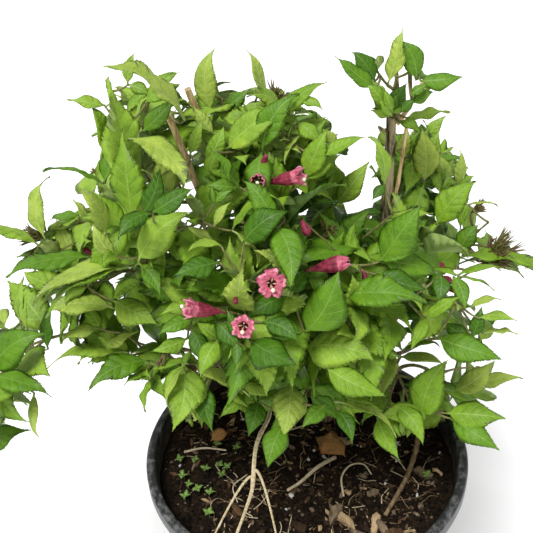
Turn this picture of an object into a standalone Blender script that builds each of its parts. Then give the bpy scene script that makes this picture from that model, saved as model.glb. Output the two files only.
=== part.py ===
"""A potted weigela: a young flowering shrub of several stems in a round nursery pot.

The frame has +Z up and its origin at the centre of the pot's flat underside; lengths are
in metres. The stems rise from the soil a little behind the pot's centre (+Y is behind),
fork into boughs, and carry the crown as separate masses of leafy shoots. Every limb and
every mass is a solid of its own, CLEARANCE away from what carries it.
"""

import math
import random
from collections import namedtuple

import bpy
from mathutils import Matrix, Vector
from mathutils.bvhtree import BVHTree
from mathutils.kdtree import KDTree

UP = Vector((0, 0, 1))

# A three-gallon nursery pot with a rolled lip, filled to a finger's width under the lip.
POT_HEIGHT = 0.240
POT_RIM_RADIUS = 0.140
POT_FOOT_RADIUS = 0.115
POT_WALL = 0.002
LIP_WIDTH = 0.006
LIP_DEPTH = 0.012
LIP_ROLL = 0.002
FOOT_BEVEL = 0.004
POT_SIDES = 36
SCREW_MERGE = 0.00005
SOIL_DEPTH_UNDER_RIM = 0.019
SOIL_LEVEL = POT_HEIGHT - SOIL_DEPTH_UNDER_RIM
CLEARANCE = 0.0003
SOIL_INSET = POT_WALL + CLEARANCE * 1.1

# The stems' feet stand on a ring round the middle of the shrub.
SHRUB_MIDDLE = Vector((0.015, 0.080, SOIL_LEVEL + CLEARANCE))
FOOT_RING = 0.036
FLARE = 0.45
FLARE_HEIGHT = 0.012
FLARE_RINGS = (0, 0.35, 1.0)
FLARE_END = 1.8
STEM_BEND_HEIGHT = 0.55
BOUGH_TAPER = 0.68
STEM_SIDES = 6
BOUGH_SIDES = 6
TWIG_SIDES = 3
STEM_STEPS = 7
BOUGH_STEPS = 4
SHOOT_STEPS = 3
BOW = 0.45

# Leaves: opposite pairs, each pair turned a quarter from the last, small at a shoot's tip.
# They are fewer than on a real shrub, so each is enlarged a little.
LEAF_WIDTH = 0.50
LEAF_BROADEST = 0.42
LEAF_THICKNESS = 0.030
LEAF_SAG = 0.10
FIRST_PAIR = 0.004
PAIR_STEP = 0.006
PAIR_STEP_GROWTH = 0.0022
YOUNGEST_LEAF = 0.42
LEAF_GROWTH = 0.16
TIP_ANGLE = math.radians(24)
ANGLE_GROWTH = math.radians(14)
WIDEST_ANGLE = math.radians(72)
LEAF_DROOP = 0.07
DROOP_PAIRS = 4
TURN_SPREAD = 0.25
ANGLE_SPREAD = 0.15
LEVELLING = 0.65
LENGTH_SPREAD = (0.86, 1.12)
OLDEST_PAIR = 5
LEAF_TRIES = 7
TRY_SHORTER = 0.05
ENLARGED = 1.1
PETIOLE = 0.14
BARE_SHOOT_FOOT = 0.006
TWIG_FOOT_RADIUS = 0.0015
TWIG_TIP_RADIUS = 0.0007

# Side shoots leave a mass's main shoot as an opposite pair part of the way along it.
FORK_AT = 0.42
SIDE_ANGLE = math.radians(46)
SIDE_REACH = 0.62
SIDE_THICKNESS = 0.8
SIDE_ROLL = 0.6
SIDE_HEADING = 1.6
SPACE_MARGIN = 0.020
FLOWER_SIDES = 6
FLOWER_STALK_RADIUS = 0.0009
FLOWER_STALK_SINK = 0.0004
FLOWER_STALK_OVERLAP = 0.001
LEAF_CLEARANCE = 0.0005

Stem = namedtuple("Stem", "name ring_angle tip foot_radius tip_radius lean")
Bough = namedtuple("Bough", "name stem at tip radius")
Mass = namedtuple("Mass", "name limb at apex leaf roll")
Flower = namedtuple("Flower", "mass base heading length opening")

# A trumpet's outline: how far along it, of its length, and its radius there. It ends at the
# mouth, whose radius is each flower's own.
TRUMPET_FOOT = (-0.002, 0.0012)
TRUMPET_PROFILE = [(0.45, 0.0026), (0.82, 0.0055)]

# ring_angle None is the stem in the middle of the ring; lean is how early a stem bows out.
STEMS = [
    Stem("stem_woody", 20, (0.0755, 0.050, 0.512), 0.0062, 0.0042, 1.10),
    Stem("stem_right", -28, (0.125, 0.085, 0.345), 0.0046, 0.0026, 0.20),
    Stem("stem_front_right", -75, (0.035, -0.005, 0.365), 0.0044, 0.0026, 0.25),
    Stem("stem_front_left", -122, (-0.035, -0.015, 0.385), 0.0044, 0.0026, 0.25),
    Stem("stem_cut_left", -165, (-0.091, 0.040, 0.527), 0.0040, 0.0024, 0.50),
    Stem("stem_left", 163, (-0.115, 0.045, 0.385), 0.0048, 0.0026, 0.30),
    Stem("stem_cut_middle", 118, (-0.079, 0.080, 0.535), 0.0042, 0.0026, 0.45),
    Stem("stem_back", 68, (0.020, 0.160, 0.420), 0.0046, 0.0026, 0.25),
    Stem("stem_leader", None, (-0.030, 0.072, 0.465), 0.0052, 0.0028, 0.25),
]

BOUGHS = [
    Bough("bough_right_brow", "stem_right", 0.80, (0.112, 0.050, 0.385), 0.0022),
    Bough("bough_right_low", "stem_right", 0.55, (0.110, 0.050, 0.300), 0.0022),
    Bough("bough_right_skirt", "stem_front_right", 0.45, (0.085, 0.018, 0.298), 0.0022),
    Bough("bough_front_right", "stem_front_right", 0.70, (0.062, -0.010, 0.328), 0.0022),
    Bough("bough_front", "stem_front_left", 0.74, (-0.003, -0.022, 0.345), 0.0022),
    Bough("bough_front_left", "stem_front_left", 0.58, (-0.056, -0.012, 0.342), 0.0022),
    Bough("bough_left_low", "stem_left", 0.66, (-0.095, 0.008, 0.338), 0.0022),
    Bough("bough_left_brow", "stem_left", 0.78, (-0.118, 0.076, 0.412), 0.0022),
    Bough("bough_far_left", "stem_left", 0.52, (-0.158, 0.030, 0.336), 0.0024),
    Bough("bough_top_right", "stem_leader", 0.74, (0.020, 0.090, 0.430), 0.0022),
    Bough("bough_left_face", "stem_cut_left", 0.62, (-0.078, 0.012, 0.430), 0.0020),
    Bough("bough_back_left", "stem_back", 0.62, (-0.070, 0.175, 0.400), 0.0022),
    Bough("bough_back_right", "stem_back", 0.74, (0.090, 0.165, 0.390), 0.0022),
]

# at 1 is the limb's tip; less than 1 is its side, that far along it.
MASSES = [
    Mass("tuft", "stem_woody", 1.0, (0.080, 0.040, 0.560), 0.058, 10),
    Mass("high_right", "stem_woody", 0.66, (0.118, 0.096, 0.478), 0.056, 40),
    Mass("right_face", "stem_woody", 0.52, (0.092, -0.008, 0.432), 0.072, 0),
    Mass("right_brow", "bough_right_brow", 1.0, (0.160, 0.026, 0.408), 0.068, 0),
    Mass("right_middle", "stem_right", 1.0, (0.190, 0.115, 0.322), 0.062, 30),
    Mass("right_low", "bough_right_low", 1.0, (0.178, 0.052, 0.272), 0.060, 0),
    Mass("right_skirt", "bough_right_skirt", 1.0, (0.148, 0.000, 0.258), 0.060, 20),
    Mass("front_right", "bough_front_right", 1.0, (0.082, -0.050, 0.306), 0.064, 0),
    Mass("right_heart", "stem_front_right", 1.0, (0.028, -0.066, 0.418), 0.074, 0),
    Mass("front", "bough_front", 1.0, (-0.002, -0.074, 0.330), 0.068, 20),
    Mass("front_left", "bough_front_left", 1.0, (-0.082, -0.064, 0.342), 0.070, 0),
    Mass("heart", "stem_front_left", 1.0, (-0.040, -0.080, 0.424), 0.070, 10),
    Mass("left_low", "bough_left_low", 1.0, (-0.146, -0.028, 0.358), 0.064, 0),
    Mass("left_middle", "stem_left", 1.0, (-0.188, 0.004, 0.404), 0.070, 20),
    Mass("left_brow", "bough_left_brow", 1.0, (-0.196, 0.056, 0.450), 0.068, 0),
    Mass("far_left", "bough_far_left", 1.0, (-0.285, 0.010, 0.312), 0.062, 15),
    Mass("left_face", "bough_left_face", 1.0, (-0.098, -0.036, 0.474), 0.068, 0),
    Mass("upper_left", "stem_cut_left", 0.80, (-0.128, 0.040, 0.545), 0.068, 30),
    Mass("top_left", "stem_cut_middle", 0.80, (-0.104, 0.118, 0.545), 0.056, 0),
    Mass("top", "stem_leader", 1.0, (-0.048, 0.062, 0.562), 0.060, 20),
    Mass("top_middle", "stem_leader", 0.90, (-0.008, 0.036, 0.530), 0.062, 40),
    Mass("top_right", "bough_top_right", 1.0, (0.034, 0.100, 0.492), 0.058, 0),
    Mass("brow", "stem_leader", 0.66, (-0.014, -0.022, 0.482), 0.066, 30),
    Mass("middle_left", "stem_leader", 0.82, (-0.052, 0.030, 0.474), 0.062, 0),
    Mass("middle_right", "stem_leader", 0.52, (0.022, 0.030, 0.460), 0.062, 60),
    Mass("back", "stem_back", 1.0, (0.000, 0.232, 0.492), 0.066, 0),
    Mass("back_left", "bough_back_left", 1.0, (-0.138, 0.222, 0.436), 0.066, 20),
    Mass("back_right", "bough_back_right", 1.0, (0.140, 0.216, 0.410), 0.066, 0),
    Mass("back_low", "stem_back", 0.52, (0.052, 0.226, 0.344), 0.064, 30),
    Mass("back_skirt", "stem_back", 0.36, (-0.050, 0.212, 0.318), 0.064, 0),
    Mass("left_back", "stem_left", 0.58, (-0.128, 0.142, 0.362), 0.064, 10),
    Mass("right_back", "stem_right", 0.66, (0.150, 0.165, 0.350), 0.064, 20),
]

# A bare bough arches out low over the soil and ends in three dead twigs.
BARE_ROUTE = [(-0.050, 0.020, 0.297), (-0.029, -0.030, 0.304), (-0.040, -0.068, 0.302),
              (-0.044, -0.098, 0.290)]
BARE_RADIUS = 0.0021
BARE_AT = 0.24
BARE_FIRST_STEP = 0.018
BARE_TAPER = 0.8
BARE_END_TWIG = 0.75
BARE_SIDE_TWIG = 0.55
BARE_TWIG_BOW = 0.3
BARE_TWIG_TAPER = 0.5
BARE_TWIGS = [
    ("bare_twig_left", 0.95, (-0.074, -0.132, 0.276)),
    ("bare_twig_middle", 1.0, (-0.060, -0.142, 0.280)),
    ("bare_twig_right", 0.92, (-0.028, -0.138, 0.284)),
]

# Trumpet flowers: where each leaves its mass, which way it faces, its length and mouth.
FLOWERS = [
    Flower("brow", (-0.024, -0.026, 0.494), (0.85, -0.30, 0.25), 0.030, 0.007),
    Flower("brow", (-0.026, -0.022, 0.494), (-0.10, -0.90, 0.35), 0.020, 0.008),
    Flower("right_heart", (0.000, -0.062, 0.446), (0.90, -0.25, 0.30), 0.032, 0.007),
    Flower("heart", (-0.024, -0.076, 0.446), (0.10, -0.85, 0.50), 0.022, 0.011),
    Flower("heart", (-0.052, -0.082, 0.430), (-0.80, -0.30, 0.35), 0.032, 0.009),
    Flower("heart", (-0.040, -0.086, 0.424), (-0.10, -0.90, 0.40), 0.020, 0.009),
]


def remove_everything():
    for item in list(bpy.data.objects):
        bpy.data.objects.remove(item)


def material(name, colour, roughness):
    made = bpy.data.materials.new(name)
    made.use_nodes = True
    shader = made.node_tree.nodes["Principled BSDF"]
    shader.inputs["Base Color"].default_value = (*colour, 1)
    shader.inputs["Roughness"].default_value = roughness
    shader.inputs["Metallic"].default_value = 0
    return made


def place_mesh(name, vertices, faces, finish):
    mesh = bpy.data.meshes.new(name)
    mesh.from_pydata(vertices, [], faces)
    mesh.materials.append(finish)
    item = bpy.data.objects.new(name, mesh)
    bpy.context.collection.objects.link(item)
    return item


# ---------------------------------------------------------------- pot and soil

def turned(name, profile, finish, sharp_angle=30):
    """A profile in the XZ plane, turned about Z; it runs from axis to axis, outside last."""
    edges = [(i, i + 1) for i in range(len(profile) - 1)]
    mesh = bpy.data.meshes.new(name)
    mesh.from_pydata([(radius, 0, height) for radius, height in profile], edges, [])
    mesh.materials.append(finish)
    item = bpy.data.objects.new(name, mesh)
    bpy.context.collection.objects.link(item)
    screw = item.modifiers.new("turn", "SCREW")
    screw.steps = POT_SIDES
    screw.render_steps = POT_SIDES
    screw.use_merge_vertices = True
    screw.merge_threshold = SCREW_MERGE
    screw.use_smooth_shade = True
    apply_modifiers(item)
    item.data.set_sharp_from_angle(angle=math.radians(sharp_angle))
    return item


def wall_radius(height, inset):
    """The pot's tapered side at a height, moved inwards by inset."""
    top = POT_RIM_RADIUS - LIP_WIDTH
    return POT_FOOT_RADIUS + (top - POT_FOOT_RADIUS) * height / POT_HEIGHT - inset


def make_pot(finish):
    lip_foot = POT_HEIGHT - LIP_DEPTH
    return turned("pot", [
        (0, POT_WALL),
        (wall_radius(POT_WALL, POT_WALL), POT_WALL),
        (wall_radius(POT_HEIGHT - LIP_ROLL, POT_WALL), POT_HEIGHT - LIP_ROLL),
        (wall_radius(POT_HEIGHT, POT_WALL) + LIP_ROLL, POT_HEIGHT),
        (POT_RIM_RADIUS - LIP_ROLL, POT_HEIGHT),
        (POT_RIM_RADIUS, POT_HEIGHT - LIP_ROLL),
        (POT_RIM_RADIUS, lip_foot),
        (wall_radius(lip_foot, 0), lip_foot),
        (wall_radius(FOOT_BEVEL, 0), FOOT_BEVEL),
        (POT_FOOT_RADIUS - FOOT_BEVEL, 0),
        (0, 0),
    ], finish)


def make_soil(finish):
    floor = POT_WALL + CLEARANCE
    return turned("soil", [
        (0, SOIL_LEVEL),
        (wall_radius(SOIL_LEVEL, SOIL_INSET), SOIL_LEVEL),
        (wall_radius(floor, SOIL_INSET), floor),
        (0, floor),
    ], finish)


# ---------------------------------------------------------------- limbs

def bowed(start, control, end, steps):
    """Points of a quadratic curve."""
    points = []
    for i in range(steps + 1):
        t = i / steps
        points.append(start * (1 - t) ** 2 + control * (2 * t * (1 - t)) + end * t ** 2)
    return points


def smooth_route(points, steps):
    """A Catmull-Rom curve through the points."""
    ends = [points[0] * 2 - points[1], *points, points[-1] * 2 - points[-2]]
    route = []
    for a, b, c, d in zip(ends, ends[1:], ends[2:], ends[3:]):
        for i in range(steps):
            t = i / steps
            route.append((b * 2 + (c - a) * t + (a * 2 - b * 5 + c * 4 - d) * t ** 2
                          + (b * 3 - a - c * 3 + d) * t ** 3) / 2)
    return [*route, points[-1]]


def tangents(points):
    found = [(b - a).normalized() for a, b in zip(points, points[1:])]
    inner = [(a + b).normalized() for a, b in zip(found, found[1:])]
    return [found[0], *inner, found[-1]]


def across(direction):
    """A unit vector square to a direction, level where it can be."""
    level = direction.cross(UP)
    if level.length < 0.05:
        return Vector((1, 0, 0))
    return level.normalized()


def tube(points, radii, sides, headings=None):
    """Vertices and faces of a closed tapering tube whose rings don't twist."""
    headings = headings or tangents(points)
    vertices = []
    side = across(headings[0])
    for point, radius, heading in zip(points, radii, headings):
        side = (side - heading * side.dot(heading)).normalized()
        other = heading.cross(side)
        for i in range(sides):
            turn = 2 * math.pi * i / sides
            vertices.append(point + (side * math.cos(turn) + other * math.sin(turn)) * radius)
    faces = [tuple(reversed(range(sides)))]
    for ring in range(len(points) - 1):
        for i in range(sides):
            j = (i + 1) % sides
            low = ring * sides
            faces.append((low + i, low + j, low + sides + j, low + sides + i))
    last = (len(points) - 1) * sides
    faces.append(tuple(last + i for i in range(sides)))
    return vertices, faces


class Limb:
    """A stem, bough or bare twig: its axis, its thickness along it and its solid."""

    def __init__(self, name, points, radii, sides, finish, headings=None):
        self.points = points
        self.radii = radii
        vertices, faces = tube(points, radii, sides, headings)
        self.tree = surface((vertices, faces))
        self.item = place_mesh(name, vertices, faces, finish)
        self.item.data.shade_smooth()
        self.item.data.set_sharp_from_angle(angle=math.radians(60))

    def at(self, fraction):
        """The axis point and heading that far along the limb."""
        place = fraction * (len(self.points) - 1)
        i = min(int(place), len(self.points) - 2)
        t = place - i
        heading = (self.points[i + 1] - self.points[i]).normalized()
        return self.points[i].lerp(self.points[i + 1], t), heading

    def seat(self, fraction, target, radius, sides):
        """Where a limb that grows towards target starts: its first point and heading."""
        point, heading = self.at(fraction)
        if fraction >= 1:
            return point + heading * CLEARANCE, heading
        outward = target - point
        outward = (outward - heading * outward.dot(heading)).normalized()
        start = point + outward * max(self.radii) * 0.5
        while not self.is_clear(start, outward, radius, sides):
            start = start + outward * (CLEARANCE / 6)
        return start, outward

    def is_clear(self, centre, heading, radius, sides):
        """Whether a cut end there stands outside this limb, CLEARANCE off its surface."""
        ring, _ = tube([centre, centre + heading * radius], [radius, radius], sides)
        for corner in [centre, *ring[:sides]]:
            nearest, normal, _, distance = self.tree.find_nearest(corner)
            if (corner - nearest).dot(normal) <= 0 or distance < CLEARANCE:
                return False
        return True


def taper(first, last, count, flare_along=None):
    """Radii from first to last, widened near the foot where the distances along are given."""
    radii = [first + (last - first) * i / (count - 1) for i in range(count)]
    if flare_along:
        radii = [r * (1 + FLARE * math.exp(-d / FLARE_HEIGHT)) for r, d in zip(radii, flare_along)]
    return radii


def make_stem(stem, finish):
    foot = SHRUB_MIDDLE.copy()
    if stem.ring_angle is not None:
        turn = math.radians(stem.ring_angle)
        foot += Vector((math.cos(turn), math.sin(turn), 0)) * FOOT_RING
    tip = Vector(stem.tip)
    rise = tip.z - foot.z
    control = foot.lerp(tip, stem.lean)
    control.z = foot.z + rise * STEM_BEND_HEIGHT
    bow = bowed(foot, control, tip, STEM_STEPS)
    flare_points = [foot + UP * (FLARE_HEIGHT * f) for f in FLARE_RINGS]
    points = [*flare_points, *[p for p in bow[1:] if p.z > foot.z + FLARE_HEIGHT * FLARE_END]]
    radii = taper(stem.foot_radius, stem.tip_radius, len(points), [p.z - foot.z for p in points])
    headings = tangents(points)
    headings[0] = UP
    return Limb(stem.name, points, radii, STEM_SIDES, finish, headings)


def make_bough(bough, parent, finish):
    tip = Vector(bough.tip)
    start, heading = parent.seat(bough.at, tip, bough.radius, BOUGH_SIDES)
    reach = (tip - start).length
    points = bowed(start, start + heading * reach * BOW, tip, BOUGH_STEPS)
    headings = tangents(points)
    headings[0] = heading
    radii = taper(bough.radius, bough.radius * BOUGH_TAPER, len(points))
    return Limb(bough.name, points, radii, BOUGH_SIDES, finish, headings)


def make_bare_bough(limbs, finish):
    """The leafless bough and its three dead twigs, added to the limbs."""
    parent = limbs["stem_cut_left"]
    route = [Vector(point) for point in BARE_ROUTE]
    start, heading = parent.seat(BARE_AT, route[0], BARE_RADIUS, BOUGH_SIDES)
    points = smooth_route([start, start + heading * BARE_FIRST_STEP, *route], 2)
    radii = taper(BARE_RADIUS, BARE_RADIUS * BARE_TAPER, len(points))
    headings = tangents(points)
    headings[0] = heading
    bough = Limb("bare_bough", points, radii, BOUGH_SIDES, finish, headings)
    limbs["bare_bough"] = bough
    for name, at, tip in BARE_TWIGS:
        radius = BARE_RADIUS * (BARE_END_TWIG if at == 1 else BARE_SIDE_TWIG)
        start, heading = bough.seat(at, Vector(tip), radius, BOUGH_SIDES)
        reach = (Vector(tip) - start).length
        points = bowed(start, start + heading * reach * BARE_TWIG_BOW, Vector(tip), 3)
        headings = tangents(points)
        headings[0] = heading
        radii = taper(radius, radius * BARE_TWIG_TAPER, len(points))
        limbs[name] = Limb(name, points, radii, BOUGH_SIDES, finish, headings)


# ---------------------------------------------------------------- leafy shoots

class Shoot:
    """One leafy shoot: a bowed axis with pairs of leaves counted back from its tip."""

    def __init__(self, start, heading, apex, foot_radius, roll):
        reach = (apex - start).length
        self.points = bowed(start, start + heading * reach * BOW, apex, SHOOT_STEPS)
        self.heading = heading
        self.radii = taper(foot_radius, TWIG_TIP_RADIUS, len(self.points))
        self.roll = roll
        self.length = sum((b - a).length for a, b in zip(self.points, self.points[1:]))

    def back_from_tip(self, distance):
        """The axis point and heading that far back from the tip."""
        for a, b in zip(reversed(self.points[:-1]), reversed(self.points[1:])):
            step = (b - a).length
            if distance <= step:
                return b.lerp(a, distance / step), (b - a).normalized()
            distance -= step
        return self.points[0], self.heading

    def radial(self, heading, turn):
        """The direction out of the axis at a turn about it, from level."""
        side = across(heading)
        return Matrix.Rotation(turn, 3, heading) @ side

    def solid(self):
        headings = tangents(self.points)
        headings[0] = self.heading
        return tube(self.points, self.radii, TWIG_SIDES, headings)


def pair_distance(k):
    return FIRST_PAIR + PAIR_STEP * k + PAIR_STEP_GROWTH * k * k


def leaf_pose(chance, shoot, k, side, leaf_length):
    """Root, direction, upper side and length of a leaf in the k-th pair from the tip."""
    point, heading = shoot.back_from_tip(pair_distance(k))
    turn = shoot.roll + math.pi / 2 * k + chance.uniform(-TURN_SPREAD, TURN_SPREAD)
    radial = shoot.radial(heading, turn) * side
    level = 1 - abs(heading.z)
    radial = (radial - UP * (radial.z * LEVELLING * level)).normalized()
    angle = min(WIDEST_ANGLE, TIP_ANGLE + ANGLE_GROWTH * k)
    angle += chance.uniform(-ANGLE_SPREAD, ANGLE_SPREAD)
    along = heading * math.cos(angle) + radial * math.sin(angle)
    along = (along - UP * (LEAF_DROOP * min(k, DROOP_PAIRS))).normalized()
    outward = Vector((point.x, point.y - SHRUB_MIDDLE.y, 0)).normalized()
    facing = heading * 0.5 + UP * 0.9 + outward * 0.35
    facing = (facing - along * facing.dot(along)).normalized()
    grown = min(1, YOUNGEST_LEAF + LEAF_GROWTH * k)
    length = leaf_length * grown * chance.uniform(*LENGTH_SPREAD)
    return point, along, facing, length


def leaf_solid(root, along, facing, length, petiole=0.0):
    """A thin leaf of six faces, arched along its length, with a keel under its midrib.

    A petiole leaves that share of its length out, from the root.
    """
    half = along.cross(facing) * (length * LEAF_WIDTH / 2)
    broad = root + along * (length * LEAF_BROADEST)
    arch = facing * (length * LEAF_THICKNESS)
    tip = root + along * length - facing * (length * LEAF_SAG)
    start = root + along * (length * petiole)
    vertices = [start, broad + half + arch, tip, broad - half + arch, broad]
    faces = [(0, 1, 3), (1, 2, 3), (1, 0, 4), (2, 1, 4), (3, 2, 4), (0, 3, 4)]
    return vertices, faces


def grow(mass, limb, obstacles):
    """The shoots of a mass: its main shoot, then a pair of side shoots that touch nothing."""
    apex = Vector(mass.apex)
    start, heading = limb.seat(mass.at, apex, TWIG_FOOT_RADIUS, TWIG_SIDES)
    roll = math.radians(mass.roll)
    main = Shoot(start, heading, apex, TWIG_FOOT_RADIUS, roll)
    point, heading = main.back_from_tip(main.length * (1 - FORK_AT))
    reach = main.length * SIDE_REACH
    shoots = [main]
    for side in (1, -1):
        radial = main.radial(heading, roll * 0.5) * side
        end = point + (heading * math.cos(SIDE_ANGLE) + radial * math.sin(SIDE_ANGLE)) * reach
        side_shoot = Shoot(point, (heading + radial * SIDE_HEADING).normalized(), end,
                           TWIG_FOOT_RADIUS * SIDE_THICKNESS, roll + SIDE_ROLL)
        tree = surface(side_shoot.solid())
        if not any(tree.overlap(obstacle) for obstacle in obstacles):
            shoots.append(side_shoot)
    return shoots


class Space:
    """The room of every mass: a place belongs to the mass whose shoots are nearest."""

    def __init__(self, growths):
        self.trees = {}
        for name, shoots in growths.items():
            points = [p for shoot in shoots for p in shoot.points]
            tree = KDTree(len(points))
            for i, p in enumerate(points):
                tree.insert(p, i)
            tree.balance()
            self.trees[name] = tree

    def holds(self, name, place):
        own = self.trees[name].find(place)[2]
        others = min(tree.find(place)[2] for other, tree in self.trees.items() if other != name)
        return own <= others + SPACE_MARGIN


def leaves_of(mass, shoots, space, obstacles):
    """The solids of a mass's leaves, without those that leave its space or touch something.

    A leaf is turned a little, made a little shorter and tried again before it is skipped.
    """
    kept = []
    blades = []
    for number, shoot in enumerate(shoots):
        leafy = shoot.length - BARE_SHOOT_FOOT
        pairs = [k for k in range(1, OLDEST_PAIR + 1) if pair_distance(k) < leafy]
        for k in pairs:
            for side in (1, -1):
                chance = random.Random(f"{mass.name} {number} {k} {side}")
                for attempt in range(LEAF_TRIES):
                    size = mass.leaf * ENLARGED * (1 - TRY_SHORTER * attempt)
                    pose = leaf_pose(chance, shoot, k, side, size)
                    root, along, _, length = pose
                    whole = surface(leaf_solid(*pose))
                    blade = surface(leaf_solid(*pose, petiole=PETIOLE), 0)
                    if (space.holds(mass.name, root + along * length * 0.8)
                            and not any(whole.overlap(obstacle) for obstacle in obstacles)
                            and not any(blade.overlap(other) for other in blades)):
                        kept.append(leaf_solid(*pose))
                        blades.append(blade)
                        break
    return kept


def flower_solids(flower, shoots):
    """A trumpet and the stalk that sinks it into the nearest shoot."""
    base = Vector(flower.base)
    heading = Vector(flower.heading).normalized()
    anchor = min((p for shoot in shoots for p in shoot.points[1:]), key=lambda p: (p - base).length)
    middle = [(share * flower.length, radius) for share, radius in TRUMPET_PROFILE]
    profile = [TRUMPET_FOOT, *middle, (flower.length, flower.opening)]
    trumpet = tube([base + heading * along for along, _ in profile],
                   [radius for _, radius in profile], FLOWER_SIDES)
    stalk_way = (base - anchor).normalized()
    stalk = tube([anchor - stalk_way * FLOWER_STALK_SINK, base + stalk_way * FLOWER_STALK_OVERLAP],
                 [FLOWER_STALK_RADIUS, FLOWER_STALK_RADIUS], TWIG_SIDES)
    return [trumpet, stalk]


def joined(pieces):
    """One list of vertices and faces from several."""
    vertices = []
    faces = []
    for more, their_faces in pieces:
        offset = len(vertices)
        vertices.extend(more)
        faces.extend(tuple(offset + i for i in face) for face in their_faces)
    return vertices, faces


def shape_of(item):
    """An object's vertices and faces."""
    mesh = item.data
    return [v.co for v in mesh.vertices], [tuple(face.vertices) for face in mesh.polygons]


def surface(shape, clearance=LEAF_CLEARANCE):
    """A shape's surface, for tests of whether another comes within clearance of it."""
    return BVHTree.FromPolygons(*shape, epsilon=clearance)


def fuse(name, pieces, finish):
    """One solid from overlapping ones, by a Boolean union on a collection."""
    whole = place_mesh(name, *pieces[0], finish)
    others = bpy.data.collections.new(name + "_pieces")
    bpy.context.scene.collection.children.link(others)
    for vertices, faces in pieces[1:]:
        item = place_mesh(name + "_piece", vertices, faces, finish)
        bpy.context.collection.objects.unlink(item)
        others.objects.link(item)
    union = whole.modifiers.new("union", "BOOLEAN")
    union.operation = "UNION"
    union.operand_type = "COLLECTION"
    union.collection = others
    union.solver = "MANIFOLD"
    apply_modifiers(whole)
    for item in list(others.objects):
        bpy.data.objects.remove(item)
    bpy.data.collections.remove(others)
    keep_largest_shell(whole)
    return whole


def apply_modifiers(item):
    """Replace an object's mesh by what its modifiers make of it."""
    graph = bpy.context.evaluated_depsgraph_get()
    made = bpy.data.meshes.new_from_object(item.evaluated_get(graph))
    item.modifiers.clear()
    item.data = made


def keep_largest_shell(item):
    """Drop loose scraps, and the inner skins of hollows that the union sealed."""
    mesh = item.data
    group = list(range(len(mesh.vertices)))

    def root_of(i):
        while group[i] != i:
            group[i] = group[group[i]]
            i = group[i]
        return i

    for edge in mesh.edges:
        a, b = (root_of(i) for i in edge.vertices)
        group[a] = b
    shells = {}
    for face in mesh.polygons:
        shells.setdefault(root_of(face.vertices[0]), []).append(tuple(face.vertices))
    faces = max(shells.values(), key=len)
    used = sorted({i for face in faces for i in face})
    place = {old: new for new, old in enumerate(used)}
    vertices = [mesh.vertices[i].co.copy() for i in used]
    kept = bpy.data.meshes.new(item.name)
    kept.from_pydata(vertices, [], [tuple(place[i] for i in face) for face in faces])
    kept.materials.append(mesh.materials[0])
    item.data = kept


def make_plant(bark, foliage, pot):
    limbs = {}
    for stem in STEMS:
        limbs[stem.name] = make_stem(stem, bark)
    for bough in BOUGHS:
        limbs[bough.name] = make_bough(bough, limbs[bough.stem], bark)
    make_bare_bough(limbs, bark)
    obstacles = [surface(shape_of(pot)), *[limb.tree for limb in limbs.values()]]
    growths = {mass.name: grow(mass, limbs[mass.limb], obstacles) for mass in MASSES}
    wood = {name: [shoot.solid() for shoot in shoots] for name, shoots in growths.items()}
    for flower in FLOWERS:
        wood[flower.mass] += flower_solids(flower, growths[flower.mass])
    woods = {name: surface(joined(solids)) for name, solids in wood.items()}
    space = Space(growths)
    for mass in MASSES:
        others = [tree for name, tree in woods.items() if name != mass.name]
        leaves = leaves_of(mass, growths[mass.name], space, obstacles + others)
        obstacles.append(surface(joined(leaves)))
        fuse("foliage_" + mass.name, wood[mass.name] + leaves, foliage)


def main():
    remove_everything()
    plastic = material("pot_plastic", (0.012, 0.013, 0.014), 0.45)
    earth = material("potting_soil", (0.035, 0.020, 0.012), 0.95)
    bark = material("bark", (0.260, 0.170, 0.090), 0.80)
    foliage = material("foliage", (0.120, 0.300, 0.045), 0.50)
    pot = make_pot(plastic)
    make_soil(earth)
    make_plant(bark, foliage, pot)


main()
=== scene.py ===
"""The looks of the potted weigela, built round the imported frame.

Every length is in metres and every place is in the frame's own coordinates. The routes of the
stems and boughs, and the rule by which shoots and leaves grow, are the part's own, written again
here and carried on to finer twigs; the leaves, flowers, bark, pot and compost get their real
shapes and finishes.
"""
import math
import random
from collections import namedtuple

import bpy
import numpy as np
from mathutils import Matrix, Vector, noise
from mathutils.bvhtree import BVHTree
from mathutils.kdtree import KDTree


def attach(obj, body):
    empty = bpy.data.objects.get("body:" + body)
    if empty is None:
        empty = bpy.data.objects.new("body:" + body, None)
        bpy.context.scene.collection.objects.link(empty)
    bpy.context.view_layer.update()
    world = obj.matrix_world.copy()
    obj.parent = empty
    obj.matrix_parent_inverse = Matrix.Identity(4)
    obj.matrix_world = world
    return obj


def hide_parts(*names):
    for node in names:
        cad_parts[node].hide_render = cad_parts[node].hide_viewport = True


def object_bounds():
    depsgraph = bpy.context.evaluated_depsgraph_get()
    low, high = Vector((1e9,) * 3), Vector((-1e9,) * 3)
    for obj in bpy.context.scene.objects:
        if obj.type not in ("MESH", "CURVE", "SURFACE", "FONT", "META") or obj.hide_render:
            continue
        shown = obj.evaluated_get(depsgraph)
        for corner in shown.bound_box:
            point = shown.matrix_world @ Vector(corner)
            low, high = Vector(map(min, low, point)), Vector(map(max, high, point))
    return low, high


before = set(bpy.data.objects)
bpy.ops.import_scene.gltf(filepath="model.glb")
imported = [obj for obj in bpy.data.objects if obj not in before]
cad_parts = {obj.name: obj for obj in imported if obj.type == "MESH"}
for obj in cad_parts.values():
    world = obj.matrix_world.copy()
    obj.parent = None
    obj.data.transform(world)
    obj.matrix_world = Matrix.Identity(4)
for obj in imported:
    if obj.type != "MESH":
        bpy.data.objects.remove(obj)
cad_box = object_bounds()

UP = Vector((0, 0, 1))
# A heading that leans less than this, as a share of its length, counts as upright.
UPRIGHT = 0.05

# ---------------------------------------------------------------- sizes shared with the part

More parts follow.
